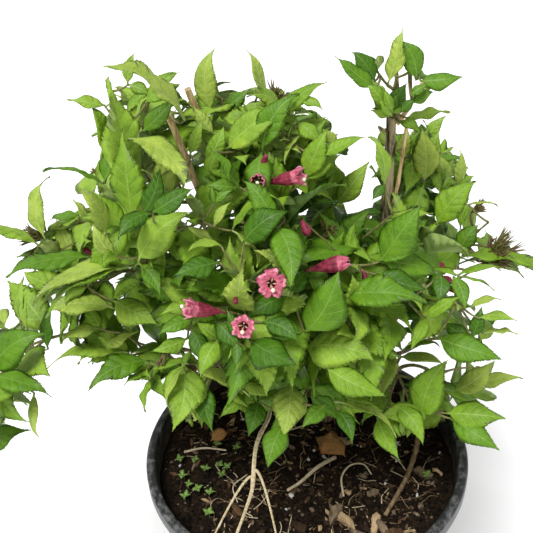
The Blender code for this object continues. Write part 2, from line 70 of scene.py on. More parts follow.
POT_HEIGHT = 0.240
POT_RIM_RADIUS = 0.140
POT_FOOT_RADIUS = 0.115
POT_WALL = 0.002
LIP_WIDTH = 0.006
LIP_DEPTH = 0.012
SOIL_LEVEL = 0.221

SHRUB_MIDDLE = Vector((0.015, 0.080, SOIL_LEVEL))
FOOT_RING = 0.036
FLARE = 0.45
FLARE_HEIGHT = 0.012
BOW = 0.45

FIRST_PAIR = 0.004
PAIR_STEP = 0.006
PAIR_STEP_GROWTH = 0.0022
TIP_ANGLE = math.radians(24)
ANGLE_GROWTH = math.radians(14)
WIDEST_ANGLE = math.radians(72)
LEAF_DROOP = 0.07
LEAF_ROLL = 0.55
TWIG_FOOT_RADIUS = 0.0015
TWIG_TIP_RADIUS = 0.0007
FORK_AT = 0.42
SIDE_ANGLE = math.radians(46)
SIDE_REACH = 0.62
SPACE_MARGIN = 0.020

Stem = namedtuple("Stem", "name ring_angle tip foot_radius tip_radius lean")
Bough = namedtuple("Bough", "name stem at tip radius")
Mass = namedtuple("Mass", "name limb at apex leaf roll")
Flower = namedtuple("Flower", "mass base heading shown opened mouth length stigma")
Bud = namedtuple("Bud", "mass base heading length radius")
Cluster = namedtuple("Cluster", "mass base heading count length")

STEMS = [
    Stem("stem_woody", 20, (0.0755, 0.050, 0.512), 0.0058, 0.0037, 1.10),
    Stem("stem_right", -28, (0.125, 0.085, 0.345), 0.0046, 0.0026, 0.20),
    Stem("stem_front_right", -75, (0.035, -0.005, 0.365), 0.0044, 0.0026, 0.25),
    Stem("stem_front_left", -122, (-0.035, -0.015, 0.385), 0.0044, 0.0026, 0.25),
    Stem("stem_cut_left", -165, (-0.091, 0.040, 0.527), 0.0040, 0.0024, 0.50),
    Stem("stem_left", 163, (-0.115, 0.045, 0.385), 0.0048, 0.0026, 0.30),
    Stem("stem_cut_middle", 118, (-0.079, 0.080, 0.535), 0.0042, 0.0026, 0.45),
    Stem("stem_back", 68, (0.020, 0.160, 0.420), 0.0046, 0.0026, 0.25),
    Stem("stem_leader", None, (-0.030, 0.072, 0.465), 0.0052, 0.0028, 0.25),
]

BOUGHS = [
    Bough("bough_right_brow", "stem_right", 0.80, (0.112, 0.050, 0.385), 0.0022),
    Bough("bough_right_low", "stem_right", 0.55, (0.110, 0.050, 0.300), 0.0022),
    Bough("bough_right_skirt", "stem_front_right", 0.45, (0.085, 0.018, 0.298), 0.0022),
    Bough("bough_front_right", "stem_front_right", 0.70, (0.062, -0.010, 0.328), 0.0022),
    Bough("bough_front", "stem_front_left", 0.74, (-0.003, -0.022, 0.345), 0.0022),
    Bough("bough_front_left", "stem_front_left", 0.58, (-0.056, -0.012, 0.342), 0.0022),
    Bough("bough_left_low", "stem_left", 0.66, (-0.095, 0.008, 0.338), 0.0022),
    Bough("bough_left_brow", "stem_left", 0.78, (-0.118, 0.076, 0.412), 0.0022),
    Bough("bough_far_left", "stem_left", 0.52, (-0.158, 0.030, 0.336), 0.0024),
    Bough("bough_top_right", "stem_leader", 0.74, (0.020, 0.090, 0.430), 0.0022),
    Bough("bough_left_face", "stem_cut_left", 0.62, (-0.078, 0.012, 0.430), 0.0020),
    Bough("bough_back_left", "stem_back", 0.62, (-0.070, 0.175, 0.400), 0.0022),
    Bough("bough_back_right", "stem_back", 0.74, (0.090, 0.165, 0.390), 0.0022),
]

MASSES = [
    Mass("tuft", "stem_woody", 1.0, (0.080, 0.040, 0.560), 0.058, 10),
    Mass("high_right", "stem_woody", 0.66, (0.118, 0.096, 0.478), 0.056, 40),
    Mass("right_face", "stem_woody", 0.52, (0.092, -0.008, 0.432), 0.072, 0),
    Mass("right_brow", "bough_right_brow", 1.0, (0.160, 0.026, 0.408), 0.068, 0),
    Mass("right_middle", "stem_right", 1.0, (0.190, 0.115, 0.322), 0.062, 30),
    Mass("right_low", "bough_right_low", 1.0, (0.178, 0.052, 0.272), 0.060, 0),
    Mass("right_skirt", "bough_right_skirt", 1.0, (0.148, 0.000, 0.258), 0.060, 20),
    Mass("front_right", "bough_front_right", 1.0, (0.082, -0.050, 0.306), 0.064, 0),
    Mass("right_heart", "stem_front_right", 1.0, (0.028, -0.066, 0.418), 0.074, 0),
    Mass("front", "bough_front", 1.0, (-0.002, -0.074, 0.330), 0.068, 20),
    Mass("front_left", "bough_front_left", 1.0, (-0.082, -0.064, 0.342), 0.070, 0),
    Mass("heart", "stem_front_left", 1.0, (-0.040, -0.080, 0.424), 0.070, 10),
    Mass("left_low", "bough_left_low", 1.0, (-0.146, -0.028, 0.358), 0.064, 0),
    Mass("left_middle", "stem_left", 1.0, (-0.188, 0.004, 0.404), 0.070, 20),
    Mass("left_brow", "bough_left_brow", 1.0, (-0.196, 0.056, 0.450), 0.068, 0),
    Mass("far_left", "bough_far_left", 1.0, (-0.285, 0.010, 0.312), 0.062, 15),
    Mass("left_face", "bough_left_face", 1.0, (-0.098, -0.036, 0.474), 0.068, 0),
    Mass("upper_left", "stem_cut_left", 0.80, (-0.128, 0.040, 0.545), 0.068, 30),
    Mass("top_left", "stem_cut_middle", 0.80, (-0.104, 0.118, 0.545), 0.056, 0),
    Mass("top", "stem_leader", 1.0, (-0.048, 0.062, 0.562), 0.060, 20),
    Mass("top_middle", "stem_leader", 0.90, (-0.008, 0.036, 0.530), 0.062, 40),
    Mass("top_right", "bough_top_right", 1.0, (0.034, 0.100, 0.492), 0.058, 0),
    Mass("brow", "stem_leader", 0.66, (-0.014, -0.022, 0.482), 0.066, 30),
    Mass("middle_left", "stem_leader", 0.82, (-0.052, 0.030, 0.474), 0.062, 0),
    Mass("middle_right", "stem_leader", 0.52, (0.022, 0.030, 0.460), 0.062, 60),
    Mass("back", "stem_back", 1.0, (0.000, 0.232, 0.492), 0.066, 0),
    Mass("back_left", "bough_back_left", 1.0, (-0.138, 0.222, 0.436), 0.066, 20),
    Mass("back_right", "bough_back_right", 1.0, (0.140, 0.216, 0.410), 0.066, 0),
    Mass("back_low", "stem_back", 0.52, (0.052, 0.226, 0.344), 0.064, 30),
    Mass("back_skirt", "stem_back", 0.36, (-0.050, 0.212, 0.318), 0.064, 0),
    Mass("left_back", "stem_left", 0.58, (-0.128, 0.142, 0.362), 0.064, 10),
    Mass("right_back", "stem_right", 0.66, (0.150, 0.165, 0.350), 0.064, 20),
]

BARE_ROUTE = [(-0.050, 0.020, 0.297), (-0.029, -0.030, 0.304), (-0.040, -0.068, 0.302),
              (-0.044, -0.098, 0.290)]
BARE_RADIUS = 0.0021
BARE_AT = 0.24
BARE_TWIGS = [
    ("bare_twig_left", 0.95, (-0.074, -0.132, 0.276)),
    ("bare_twig_middle", 1.0, (-0.060, -0.142, 0.280)),
    ("bare_twig_right", 0.92, (-0.028, -0.138, 0.284)),
]

# Flowers: the mass that carries each, its base, the way it points, how much of its length is
# kept in sight, how far it is open (0 is shut over the mouth, 1 spread flat), its mouth's radius,
# its length, and how far its stigma stands out and sags; None where that doesn't show.
FLOWERS = [
    Flower("brow", (-0.024, -0.026, 0.494), (0.85, -0.30, 0.25), 0.030,
           0.34, 0.0066, 0.029, (0.0030, 0.0030)),
    Flower("brow", (-0.026, -0.022, 0.494), (-0.10, -0.90, 0.35), 0.020,
           0.16, 0.0054, 0.018, (0.0020, 0.0010)),
    Flower("right_heart", (0.000, -0.062, 0.446), (0.90, -0.25, 0.30), 0.032,
           0.0, 0.0050, 0.030, None),
    Flower("heart", (-0.024, -0.076, 0.446), (0.10, -0.85, 0.50), 0.022,
           1.0, 0.0092, 0.020, (0.0035, 0.0050)),
    Flower("heart", (-0.052, -0.082, 0.430), (-0.80, -0.30, 0.35), 0.032,
           0.40, 0.0070, 0.028, (0.0050, -0.0010)),
    Flower("heart", (-0.040, -0.086, 0.424), (-0.10, -0.90, 0.40), 0.020,
           0.86, 0.0072, 0.018, (0.0025, 0.0030)),
]

BUDS = [
    Bud("brow", (-0.026, -0.016, 0.498), (0.35, -0.2, 0.9), 0.015, 0.0023),
    Bud("left_middle", (-0.165, 0.000, 0.445), (0.75, -0.3, -0.40), 0.016, 0.0022),
    Bud("right_face", (0.102, 0.010, 0.406), (0.9, -0.4, -0.1), 0.012, 0.0036),
    Bud("right_face", (0.106, 0.004, 0.396), (0.9, -0.4, 0.0), 0.013, 0.0033),
    Bud("right_face", (0.112, 0.006, 0.386), (1.0, -0.3, -0.1), 0.016, 0.0030),
    Bud("heart", (-0.046, -0.080, 0.441), (0.1, -0.8, -0.3), 0.007, 0.0018),
    Bud("right_heart", (0.000, -0.040, 0.472), (0.3, -0.6, -0.6), 0.012, 0.0034),
    Bud("right_heart", (0.040, -0.046, 0.436), (0.2, -0.5, -0.6), 0.010, 0.0022),
]

# Clusters of spent calyxes.
CLUSTERS = [
    Cluster("right_brow", (0.143, 0.012, 0.404), (0.62, -0.25, 0.60), 20, 0.0155),
    Cluster("right_brow", (0.148, 0.060, 0.424), (0.60, 0.0, 0.45), 6, 0.0080),
    Cluster("left_brow", (-0.196, 0.034, 0.434), (-0.50, -0.35, 0.45), 12, 0.0115),
    Cluster("upper_left", (-0.140, 0.028, 0.484), (0.25, -0.5, 0.55), 8, 0.0080),
    Cluster("top_middle", (-0.012, 0.046, 0.524), (0.10, -0.2, 1.0), 8, 0.0095),
    Cluster("middle_right", (0.018, -0.012, 0.446), (0.2, -0.6, 0.55), 7, 0.0090),
    Cluster("front_left", (-0.100, -0.052, 0.380), (-0.2, -0.8, 0.3), 7, 0.0060),
    Cluster("front_left", (-0.085, -0.060, 0.373), (0.3, -0.8, 0.1), 6, 0.0060),
    Cluster("front_right", (0.034, -0.050, 0.372), (0.2, -0.8, 0.3), 5, 0.0070),
]

# ---------------------------------------------------------------- what only the looks need

# The shrub's leaves: more pairs than the part's solids have, on finer shoots. GROWN is a leaf's
# share of its full length, pair by pair from the shoot's tip.
LEAF_SCALE = 1.10
GROWN = (0.36, 0.62, 0.86, 1.0)
OLDEST_PAIR = 5
FINE_ROWS = 12
LEAF_TRIES = 6
TRY_SHORTER = 0.05
PETIOLE = 0.07
LEAF_WIDTH = (0.38, 0.52)
TOOTH = 0.0007
VEIN_WIDTH = 0.00034
MIDRIB_WIDTH = 0.0010
SMALL_LEAF = 0.030
TOOTHED_LENGTH = 0.060
VEIN_SLANT = 0.80
RIB_SHARE = 0.01
EDGE_SHARE = 0.9
BEND_STEPS = 24

# Leaves on a level shoot stand out level; each faces partly to its shoot's tip, up and outwards.
LEVELLED = 0.65
FACES_TIP = 0.5
FACES_UP = 0.9
FACES_OUT = 0.35

# The twigs: none under the shortest length, and each runs a little past what it carries.
SHORTEST_TWIG = 0.004
TWIG_SPARE = 0.002
TWIG_STEP = 0.0028
PAIR_SWELLING = 0.30
PAIR_LENGTH = 0.0018
LIMB_CLEARANCE = 0.0015
# The twig that carries a leaf that shows.
STALK_SAG = 0.15
STALK_RADII = np.linspace(0.0010, 0.0006, 7)

# The main vein's first and last side veins as shares of the leaf's length, and the rows of the
# leaf's tip: how far along, whether there is a tooth, and the pucker.
FIRST_VEIN = PETIOLE + 0.05
LAST_VEIN = 0.90
TIP_ROWS = [(0.93, 1, 0), (0.97, 0, 0), (1.0, 0, 0)]

# How far the looks may go past the part's box: metres, and a share of its size.
SPARE_REACH = 0.008
SPARE_SHARE = 0.02

# Where the photograph's camera stands: metres, and degrees down and round.
CAMERA_PLACE = Vector((-0.025, -0.426, 0.650))
CAMERA_PITCH = math.radians(28.7)
CAMERA_ROLL = math.radians(-3.2)
CAMERA_TURN = (Matrix.Rotation(math.radians(90) - CAMERA_PITCH, 3, "X")
               @ Matrix.Rotation(CAMERA_ROLL, 3, "Z"))
FOCAL_PIXELS = 640
PHOTO_WIDTH = 533
MIDDLE_PIXEL = PHOTO_WIDTH / 2
SENSOR = 36

# ---------------------------------------------------------------- what the photograph shows

# The leaves' greens, from young to shaded: the first is the yellower green of young leaves and the third
# the plain green; the second is a lighter copy of it with painted light, the fourth and fifth are darker
# copies with painted shade.
YOUNG, LIT_GREEN, MID, HALF_SHADE_GREEN, SHADED = range(5)

# Leaves that show one by one, those behind first: the pixel of the tip, the pixel of the base,
# how many degrees the tip leans towards the camera, the green, which paints the light and shade
# on the leaf as well as its age, and how broad the leaf looks as a share of its length.
SEEN_LEAVES = [
    (175, 100, 142, 132, 0, HALF_SHADE_GREEN, 0.42), (178, 84, 145, 104, 5, MID, 0.49),
    (322, 145, 298, 122, 10, MID, 0.52), (250, 90, 222, 110, 10, HALF_SHADE_GREEN, 0.52),
    (285, 165, 300, 135, 10, YOUNG, 0.26), (221, 156, 240, 188, 5, HALF_SHADE_GREEN, 0.52),
    (172, 277, 220, 262, 15, SHADED, 0.52), (246, 318, 286, 296, 10, SHADED, 0.50),
    (300, 345, 262, 322, 20, SHADED, 0.49), (426, 290, 376, 274, 10, SHADED, 0.52),
    (440, 386, 404, 384, 10, SHADED, 0.56), (424, 250, 378, 262, 5, HALF_SHADE_GREEN, 0.42),
    (480, 224, 460, 252, 5, HALF_SHADE_GREEN, 0.60), (482, 306, 472, 338, 10, SHADED, 0.42),
    (372, 201, 385, 184, 10, SHADED, 0.52), (160, 326, 112, 300, 15, LIT_GREEN, 0.52),
    (53, 302, 48, 350, 10, SHADED, 0.31), (45, 318, 115, 308, 5, YOUNG, 0.34),
    (50, 220, 80, 215, 5, HALF_SHADE_GREEN, 0.37), (160, 295, 142, 266, 20, HALF_SHADE_GREEN, 0.49),
    (219, 419, 243, 404, 15, MID, 0.42), (248, 437, 258, 400, 25, SHADED, 0.52),
    (352, 446, 336, 410, 25, SHADED, 0.42), (62, 342, 100, 328, 10, YOUNG, 0.37),
    (146, 412, 152, 378, 25, MID, 0.26), (270, 398, 240, 386, 10, LIT_GREEN, 0.42),
    # upper left
    (180, 72, 148, 92, 10, MID, 0.42), (136, 51, 128, 85, 15, LIT_GREEN, 0.37),
    (88, 105, 106, 158, 10, MID, 0.26), (126, 129, 115, 176, 0, SHADED, 0.28),
    (67, 100, 106, 106, 10, LIT_GREEN, 0.39), (107, 78, 130, 200, 12, LIT_GREEN, 0.31),
    (103, 66, 186, 121, 30, YOUNG, 0.29), (122, 128, 132, 222, 15, MID, 0.33),
    (168, 196, 150, 236, 12, SHADED, 0.45), (160, 168, 142, 214, 10, SHADED, 0.40),
    (182, 194, 128, 138, 20, YOUNG, 0.33), (43, 172, 104, 184, 5, HALF_SHADE_GREEN, 0.21),
    (50, 176, 46, 240, 8, YOUNG, 0.31), (92, 190, 128, 228, 12, MID, 0.45),
    (75, 187, 106, 236, 35, YOUNG, 0.34), (73, 199, 96, 226, 12, YOUNG, 0.31),
    # upper middle
    (247, 50, 263, 100, 12, YOUNG, 0.24), (215, 48, 212, 112, 15, YOUNG, 0.36),
    (192, 104, 214, 134, 12, YOUNG, 0.42), (224, 126, 206, 162, 8, MID, 0.45),
    (327, 82, 275, 116, 10, MID, 0.36), (292, 112, 226, 152, 15, LIT_GREEN, 0.42),
    (300, 94, 262, 152, 10, HALF_SHADE_GREEN, 0.40), (323, 110, 300, 100, 15, MID, 0.42),
    (329, 127, 305, 180, 15, MID, 0.39), (365, 137, 322, 156, 15, MID, 0.37),
    (370, 161, 335, 206, 15, LIT_GREEN, 0.39), (204, 117, 190, 155, 20, LIT_GREEN, 0.37),
    (219, 148, 208, 178, 15, MID, 0.52), (228, 183, 214, 150, 15, HALF_SHADE_GREEN, 0.28),
    (234, 190, 214, 204, 8, HALF_SHADE_GREEN, 0.42), (289, 212, 243, 243, 10, SHADED, 0.55),
    (290, 290, 274, 225, 30, HALF_SHADE_GREEN, 0.42), (232, 202, 214, 227, 5, YOUNG, 0.37),
    (186, 228, 213, 240, 10, YOUNG, 0.37), (188, 252, 222, 246, 10, LIT_GREEN, 0.34),
    (257, 268, 232, 230, 15, YOUNG, 0.19), (320, 128, 336, 150, 10, YOUNG, 0.42),
    # the tuft over the woody stem
    (352, 52, 375, 82, 8, SHADED, 0.60), (335, 56, 376, 88, 12, HALF_SHADE_GREEN, 0.37),
    (371, 96, 388, 108, 15, HALF_SHADE_GREEN, 0.49), (437, 86, 412, 101, 10, YOUNG, 0.42),
    (420, 135, 398, 122, 20, MID, 0.37), (450, 113, 405, 118, 12, LIT_GREEN, 0.34),
    (463, 77, 420, 81, 12, HALF_SHADE_GREEN, 0.49), (397, 39, 416, 80, 12, HALF_SHADE_GREEN, 0.46),
    (403, 27, 388, 84, 15, YOUNG, 0.34), (387, 92, 392, 112, 15, MID, 0.37),
    (371, 108, 391, 111, 15, HALF_SHADE_GREEN, 0.50), (405, 83, 397, 113, 12, SHADED, 0.45),
    (447, 116, 428, 143, 15, LIT_GREEN, 0.42), (378, 128, 392, 150, 15, YOUNG, 0.42),
    (408, 128, 402, 160, 12, YOUNG, 0.45), (440, 130, 430, 168, 15, LIT_GREEN, 0.45),
    (404, 196, 412, 160, 20, MID, 0.45), (371, 92, 390, 112, 12, HALF_SHADE_GREEN, 0.50),
    (370, 110, 391, 113, 15, LIT_GREEN, 0.45), (366, 84, 388, 108, 10, MID, 0.45),
    (408, 82, 391, 112, 12, SHADED, 0.55), (397, 94, 391, 115, 20, HALF_SHADE_GREEN, 0.50),
    (435, 92, 411, 104, 10, HALF_SHADE_GREEN, 0.55), (416, 98, 400, 113, 15, SHADED, 0.50),
    (378, 100, 392, 116, 25, MID, 0.50), (384, 90, 392, 112, 18, MID, 0.42),
    (428, 84, 410, 96, 8, HALF_SHADE_GREEN, 0.50), (421, 134, 399, 121, 20, MID, 0.45),
    # right
    (368, 137, 384, 186, 15, LIT_GREEN, 0.31), (432, 150, 452, 180, 15, YOUNG, 0.42),
    (460, 149, 457, 186, 15, YOUNG, 0.34), (476, 176, 458, 188, 15, MID, 0.37),
    (421, 126, 424, 183, 15, YOUNG, 0.48), (498, 207, 468, 204, 5, YOUNG, 0.21),
    (476, 182, 436, 226, 15, MID, 0.49), (545, 277, 462, 256, 15, MID, 0.28),
    (501, 271, 457, 275, 10, MID, 0.26), (495, 291, 458, 276, 15, MID, 0.21),
    (465, 310, 453, 276, 25, HALF_SHADE_GREEN, 0.42), (437, 306, 440, 274, 20, SHADED, 0.49),
    (421, 205, 380, 262, 18, HALF_SHADE_GREEN, 0.58), (462, 297, 425, 318, 15, MID, 0.37),
    (501, 300, 470, 307, 10, YOUNG, 0.34), (517, 321, 478, 318, 15, LIT_GREEN, 0.34),
    (518, 334, 482, 333, 15, YOUNG, 0.24), (427, 303, 341, 296, 18, HALF_SHADE_GREEN, 0.40),
    (440, 347, 402, 350, 15, MID, 0.26), (444, 365, 400, 357, 18, YOUNG, 0.34),
    (502, 360, 436, 337, 20, HALF_SHADE_GREEN, 0.44), (495, 361, 452, 392, 10, YOUNG, 0.42),
    (523, 379, 474, 388, 15, YOUNG, 0.34), (500, 451, 450, 418, 25, HALF_SHADE_GREEN, 0.42),
    (506, 419, 445, 413, 18, MID, 0.56), (448, 360, 422, 420, 10, MID, 0.50),
    (382, 402, 396, 352, 25, YOUNG, 0.45), (378, 417, 424, 415, 15, LIT_GREEN, 0.50),
    (423, 445, 395, 405, 25, MID, 0.45), (401, 462, 377, 416, 25, MID, 0.40),
    # left
    (-25, 236, 40, 246, 10, LIT_GREEN, 0.30), (5, 277, 92, 257, 10, HALF_SHADE_GREEN, 0.30),
    (92, 222, 116, 257, 15, YOUNG, 0.39), (33, 306, 133, 266, 15, YOUNG, 0.30),
    (139, 331, 105, 346, 15, YOUNG, 0.37), (47, 368, 130, 353, 15, LIT_GREEN, 0.28),
    (88, 391, 150, 361, 20, HALF_SHADE_GREEN, 0.42), (190, 212, 138, 262, 10, LIT_GREEN, 0.50),
    # far left
    (24, 276, 20, 322, 15, LIT_GREEN, 0.26), (31, 289, 28, 332, 15, LIT_GREEN, 0.24),
    (39, 438, 34, 392, 25, YOUNG, 0.21), (31, 430, -14, 446, 15, HALF_SHADE_GREEN, 0.45),
    (31, 394, -20, 402, 15, MID, 0.37), (52, 397, -6, 376, 15, HALF_SHADE_GREEN, 0.37),
    (48, 334, -8, 372, 10, HALF_SHADE_GREEN, 0.50),
    # front
    (150, 352, 188, 338, 15, MID, 0.42), (206, 364, 192, 330, 20, SHADED, 0.50),
    (158, 336, 194, 320, 15, HALF_SHADE_GREEN, 0.40), (240, 352, 216, 322, 15, SHADED, 0.52),
    (235, 371, 236, 340, 20, SHADED, 0.37), (200, 378, 218, 338, 20, MID, 0.49),
    (318, 388, 282, 390, 15, YOUNG, 0.31), (302, 428, 326, 405, 25, HALF_SHADE_GREEN, 0.49),
    (339, 270, 304, 333, 15, HALF_SHADE_GREEN, 0.60), (297, 366, 250, 340, 25, SHADED, 0.66),
    (385, 396, 325, 366, 15, MID, 0.42), (374, 361, 303, 348, 22, LIT_GREEN, 0.60),
    (213, 433, 203, 383, 25, SHADED, 0.42), (172, 432, 182, 361, 25, LIT_GREEN, 0.60),
    (169, 409, 184, 367, 22, YOUNG, 0.21), (250, 397, 191, 363, 15, YOUNG, 0.28),
    (268, 468, 284, 424, 25, HALF_SHADE_GREEN, 0.52), (283, 438, 290, 382, 28, YOUNG, 0.55),
    (396, 438, 334, 401, 22, YOUNG, 0.24), (194, 188, 152, 213, 5, SHADED, 0.46),
]

# Round gaps where the background shows through the crown: pixel and radius.
SKY_GAPS = [
    (157, 137, 4), (250, 100, 5), (265, 128, 4), (247, 141, 4), (322, 170, 4), (303, 263, 6),
    (351, 264, 7), (357, 192, 7), (352, 178, 9), (350, 207, 6), (308, 268, 4), (189, 344, 3),
    (242, 352, 4), (448, 285, 9), (480, 287, 9), (440, 358, 9), (462, 350, 6), (470, 262, 4),
    (425, 372, 4), (416, 312, 6), (398, 318, 4), (275, 337, 3), (163, 148, 3), (432, 292, 5),
    (490, 350, 5), (465, 365, 4), (450, 349, 6), (462, 352, 6), (438, 344, 5), (430, 368, 6),
    (444, 369, 6), (417, 369, 4), (434, 290, 7), (440, 300, 6), (405, 312, 6), (413, 308, 4),
    (8, 294, 7), (20, 284, 5), (42, 284, 5), (60, 283, 4), (57, 338, 4), (62, 198, 8),
    (72, 210, 4), (36, 214, 5), (152, 143, 6), (104, 325, 3),
]

# The crown's outline between the leaves that stick out of it.
CROWN_OUTLINE = [
    (60, 205), (84, 196), (70, 176), (98, 158), (96, 110), (112, 84), (140, 84), (160, 86),
    (186, 92), (204, 90), (212, 72), (226, 84), (246, 86), (268, 92), (290, 88), (306, 96),
    (318, 114), (330, 132), (344, 152), (338, 172), (346, 196), (346, 222), (362, 214),
    (374, 190), (376, 150), (374, 116), (366, 96), (352, 78), (356, 60), (376, 60), (384, 40),
    (400, 44), (424, 62), (446, 72), (448, 88), (440, 108), (436, 124), (452, 146), (470, 162),
    (472, 184), (486, 200), (480, 222), (508, 242), (533, 262), (532, 276), (500, 270),
    (458, 270), (458, 300), (484, 302), (500, 320), (494, 334), (488, 352), (470, 362),
    (492, 372), (490, 396), (482, 414), (484, 430), (456, 424), (424, 424), (404, 440),
    (386, 432), (360, 428), (338, 420), (322, 414), (302, 408), (294, 424), (272, 434),
    (262, 452), (248, 430), (222, 414), (208, 424), (178, 424), (158, 400), (150, 380),
    (120, 384), (98, 372), (80, 360), (66, 340), (44, 350), (46, 380), (40, 404), (20, 420),
    (-1, 440), (-1, 240), (30, 246), (40, 228),
]

# Limbs that show, and from how far along them.
SEEN_LIMBS = [
    ("stem_woody", 0.74), ("stem_cut_left", 0.66), ("stem_cut_middle", 0.90),
    ("bare_bough", 0.60), ("bare_twig_left", 0.0), ("bare_twig_middle", 0.0),
    ("bare_twig_right", 0.0),
]

# Cut stems that sprout leaves of their own along their upper half.
SPROUTING = ("stem_cut_left", "stem_cut_middle")

# How a leaf that shows is carried: the shoot points within ANCHOR_REACH pixels of its base are
# weighed by their depth and by ANCHOR_PIXEL metres a pixel. The leaf's base lies BEFORE_TWIG
# metres in front of the one chosen, and comes forward by up to MOST_FORWARD metres to lie
# BEFORE_LEAF metres over those behind it. A leaf's own width lies between NARROWEST and BROADEST
# shares of its length, unless it looks broader, and it is turned about its midrib to look as
# narrow as it does. A leaf of the rule may hide what is kept in sight, FRONT_MARGIN metres or
# more behind it, with HIDDEN_SHARE of its blade.
ANCHOR_REACH = 42
ANCHOR_PIXEL = 0.0016
BEFORE_TWIG = 0.002
BEFORE_LEAF = 0.001
MOST_FORWARD = 0.047
NARROWEST = 0.38
BROADEST = 0.52
FRONT_MARGIN = 0.001
HIDDEN_SHARE = 0.14

# How wide a spot is kept in sight round each limb and flower that shows, in pixels: a bare twig,
# another limb, a flower's base and what its mouth has over that, and a cluster's for each metre
# of its calyxes.
BARE_SPOT = 4
LIMB_SPOT = 6
BASE_SPOT = 5
MOUTH_SPOT = 7
CLUSTER_SPOT = 900


# ---------------------------------------------------------------- meshes

class Sheaf:
    """Vertices, faces and their finishes, gathered for one joined piece."""

    def __init__(self):
        self.vertices = []
        self.corners = []
        self.totals = []
        self.finishes = []
        self.count = 0

    def add(self, vertices, *blocks):
        """blocks are (faces, finish): faces are one row of corners, or an array of such rows."""
        vertices = np.asarray(vertices, float).reshape(-1, 3)
        for faces, finish in blocks:
            faces = np.atleast_2d(np.asarray(faces, int))
            self.corners.append((faces + self.count).ravel())
            self.totals.append(np.full(len(faces), faces.shape[1]))
            self.finishes.append(np.full(len(faces), finish))
        self.vertices.append(vertices)
        self.count += len(vertices)

    def add_body(self, rings, finish, cap=None, turned=False):
        """A closed body: quads from ring to ring of vertices, and a face over either end.

        finish is one finish, or one for each row of quads; turned is for rings that run inwards.
        """
        rings = np.asarray(rings, float)
        count, around = rings.shape[:2]
        last = (count - 1) * around
        caps = (finish, finish) if cap is None else cap
        blocks = [(grid_faces(count, around, closed=True), np.repeat(finish, around)
                   if np.ndim(finish) else finish),
                  (np.arange(around)[::-1], caps[0]), (np.arange(last, last + around), caps[1])]
        self.add(rings, *[(faces[..., ::-1] if turned else faces, kind) for faces, kind in blocks])

    def add_tube(self, points, radii, sides, finish, relief=1.0, cap=None):
        """A closed tube; relief scales its radii, and cap finishes its ends."""
        points = np.asarray(points, float)
        side, other = square_frames(points)
        turn = turns(sides)
        radius = np.asarray(radii, float)[:, None] * np.ones(sides) * relief
        spokes = (side[:, None] * np.cos(turn)[None, :, None]
                  + other[:, None] * np.sin(turn)[None, :, None])
        cap = finish if cap is None else cap
        self.add_body(points[:, None] + spokes * radius[:, :, None], finish, (cap, cap))

    def build(self, name, materials, smooth=True):
        """The joined piece, as an object in the scene."""
        vertices, corners, totals, finishes = (
            np.concatenate(part) for part in (self.vertices, self.corners, self.totals, self.finishes))
        mesh = bpy.data.meshes.new(name)
        mesh.vertices.add(len(vertices))
        mesh.vertices.foreach_set("co", vertices.astype(np.float32).ravel())
        mesh.loops.add(len(corners))
        mesh.loops.foreach_set("vertex_index", corners.astype(np.int32))
        mesh.polygons.add(len(totals))
        starts = np.concatenate([[0], np.cumsum(totals)[:-1]])
        mesh.polygons.foreach_set("loop_start", starts.astype(np.int32))
        mesh.polygons.foreach_set("material_index", finishes.astype(np.int32))
        for material in materials:
            mesh.materials.append(material)
        mesh.update(calc_edges=True)
        if smooth:
            mesh.shade_smooth()
        piece = bpy.data.objects.new(name, mesh)
        bpy.context.scene.collection.objects.link(piece)
        return piece


def settle(piece, slot, *replaced):
    """Let a piece ride the one body, in place of the named solids; slot is not used."""
    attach(piece, "root")
    if replaced:
        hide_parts(*replaced)


def grid_faces(rows, columns, closed=False):
    """Quads of a grid of vertices, row after row; closed joins each row's ends."""
    across = columns if closed else columns - 1
    r, c = np.meshgrid(np.arange(rows - 1), np.arange(across), indexing="ij")
    low = (r * columns + c).ravel()
    high = (r * columns + (c + 1) % columns).ravel()
    return np.stack([low, high, high + columns, low + columns], 1)


def turns(count):
    """Angles evenly round a circle."""
    return 2 * np.pi * np.arange(count) / count


def on_circle(turn):
    """The level unit vector at a turn about the vertical."""
    return Vector((math.cos(turn), math.sin(turn), 0))


def aimed(place, heading):
    """A place and a unit heading as vectors."""
    return Vector(place), Vector(heading).normalized()


def square_to(along, direction):
    """The unit vector nearest to a direction that is square to along."""
    return (direction - along * direction.dot(along)).normalized()


def square_frames(points):
    """For each point of a route two directions square to it and to each other, without twist."""
    steps = np.diff(points, axis=0)
    steps /= np.linalg.norm(steps, axis=1)[:, None] + 1e-12
    inner = steps[:-1] + steps[1:]
    inner /= np.linalg.norm(inner, axis=1)[:, None] + 1e-12
    headings = np.concatenate([steps[:1], inner, steps[-1:]])
    side = np.cross(headings[0], UP)
    if np.linalg.norm(side) < UPRIGHT:
        side = np.array((1.0, 0, 0))
    sides = []
    for heading in headings:
        side = side - heading * side.dot(heading)
        side = side / np.linalg.norm(side)
        sides.append(side)
    return np.array(sides), np.cross(headings, sides)


def bowed(start, control, end, steps):
    """Points of a quadratic curve."""
    t = np.linspace(0, 1, steps + 1)[:, None]
    start, control, end = (np.array(p, float) for p in (start, control, end))
    return start * (1 - t) ** 2 + control * (2 * t * (1 - t)) + end * t ** 2


def smooth_route(points, steps):
    """A Catmull-Rom curve through the points."""
    points = [np.array(p, float) for p in points]
    ends = [points[0] * 2 - points[1], *points, points[-1] * 2 - points[-2]]
    route = []
    for a, b, c, d in zip(ends, ends[1:], ends[2:], ends[3:]):
        for i in range(steps):
            t = i / steps
            route.append((b * 2 + (c - a) * t + (a * 2 - b * 5 + c * 4 - d) * t ** 2
                          + (b * 3 - a - c * 3 + d) * t ** 3) / 2)
    return np.array([*route, points[-1]])


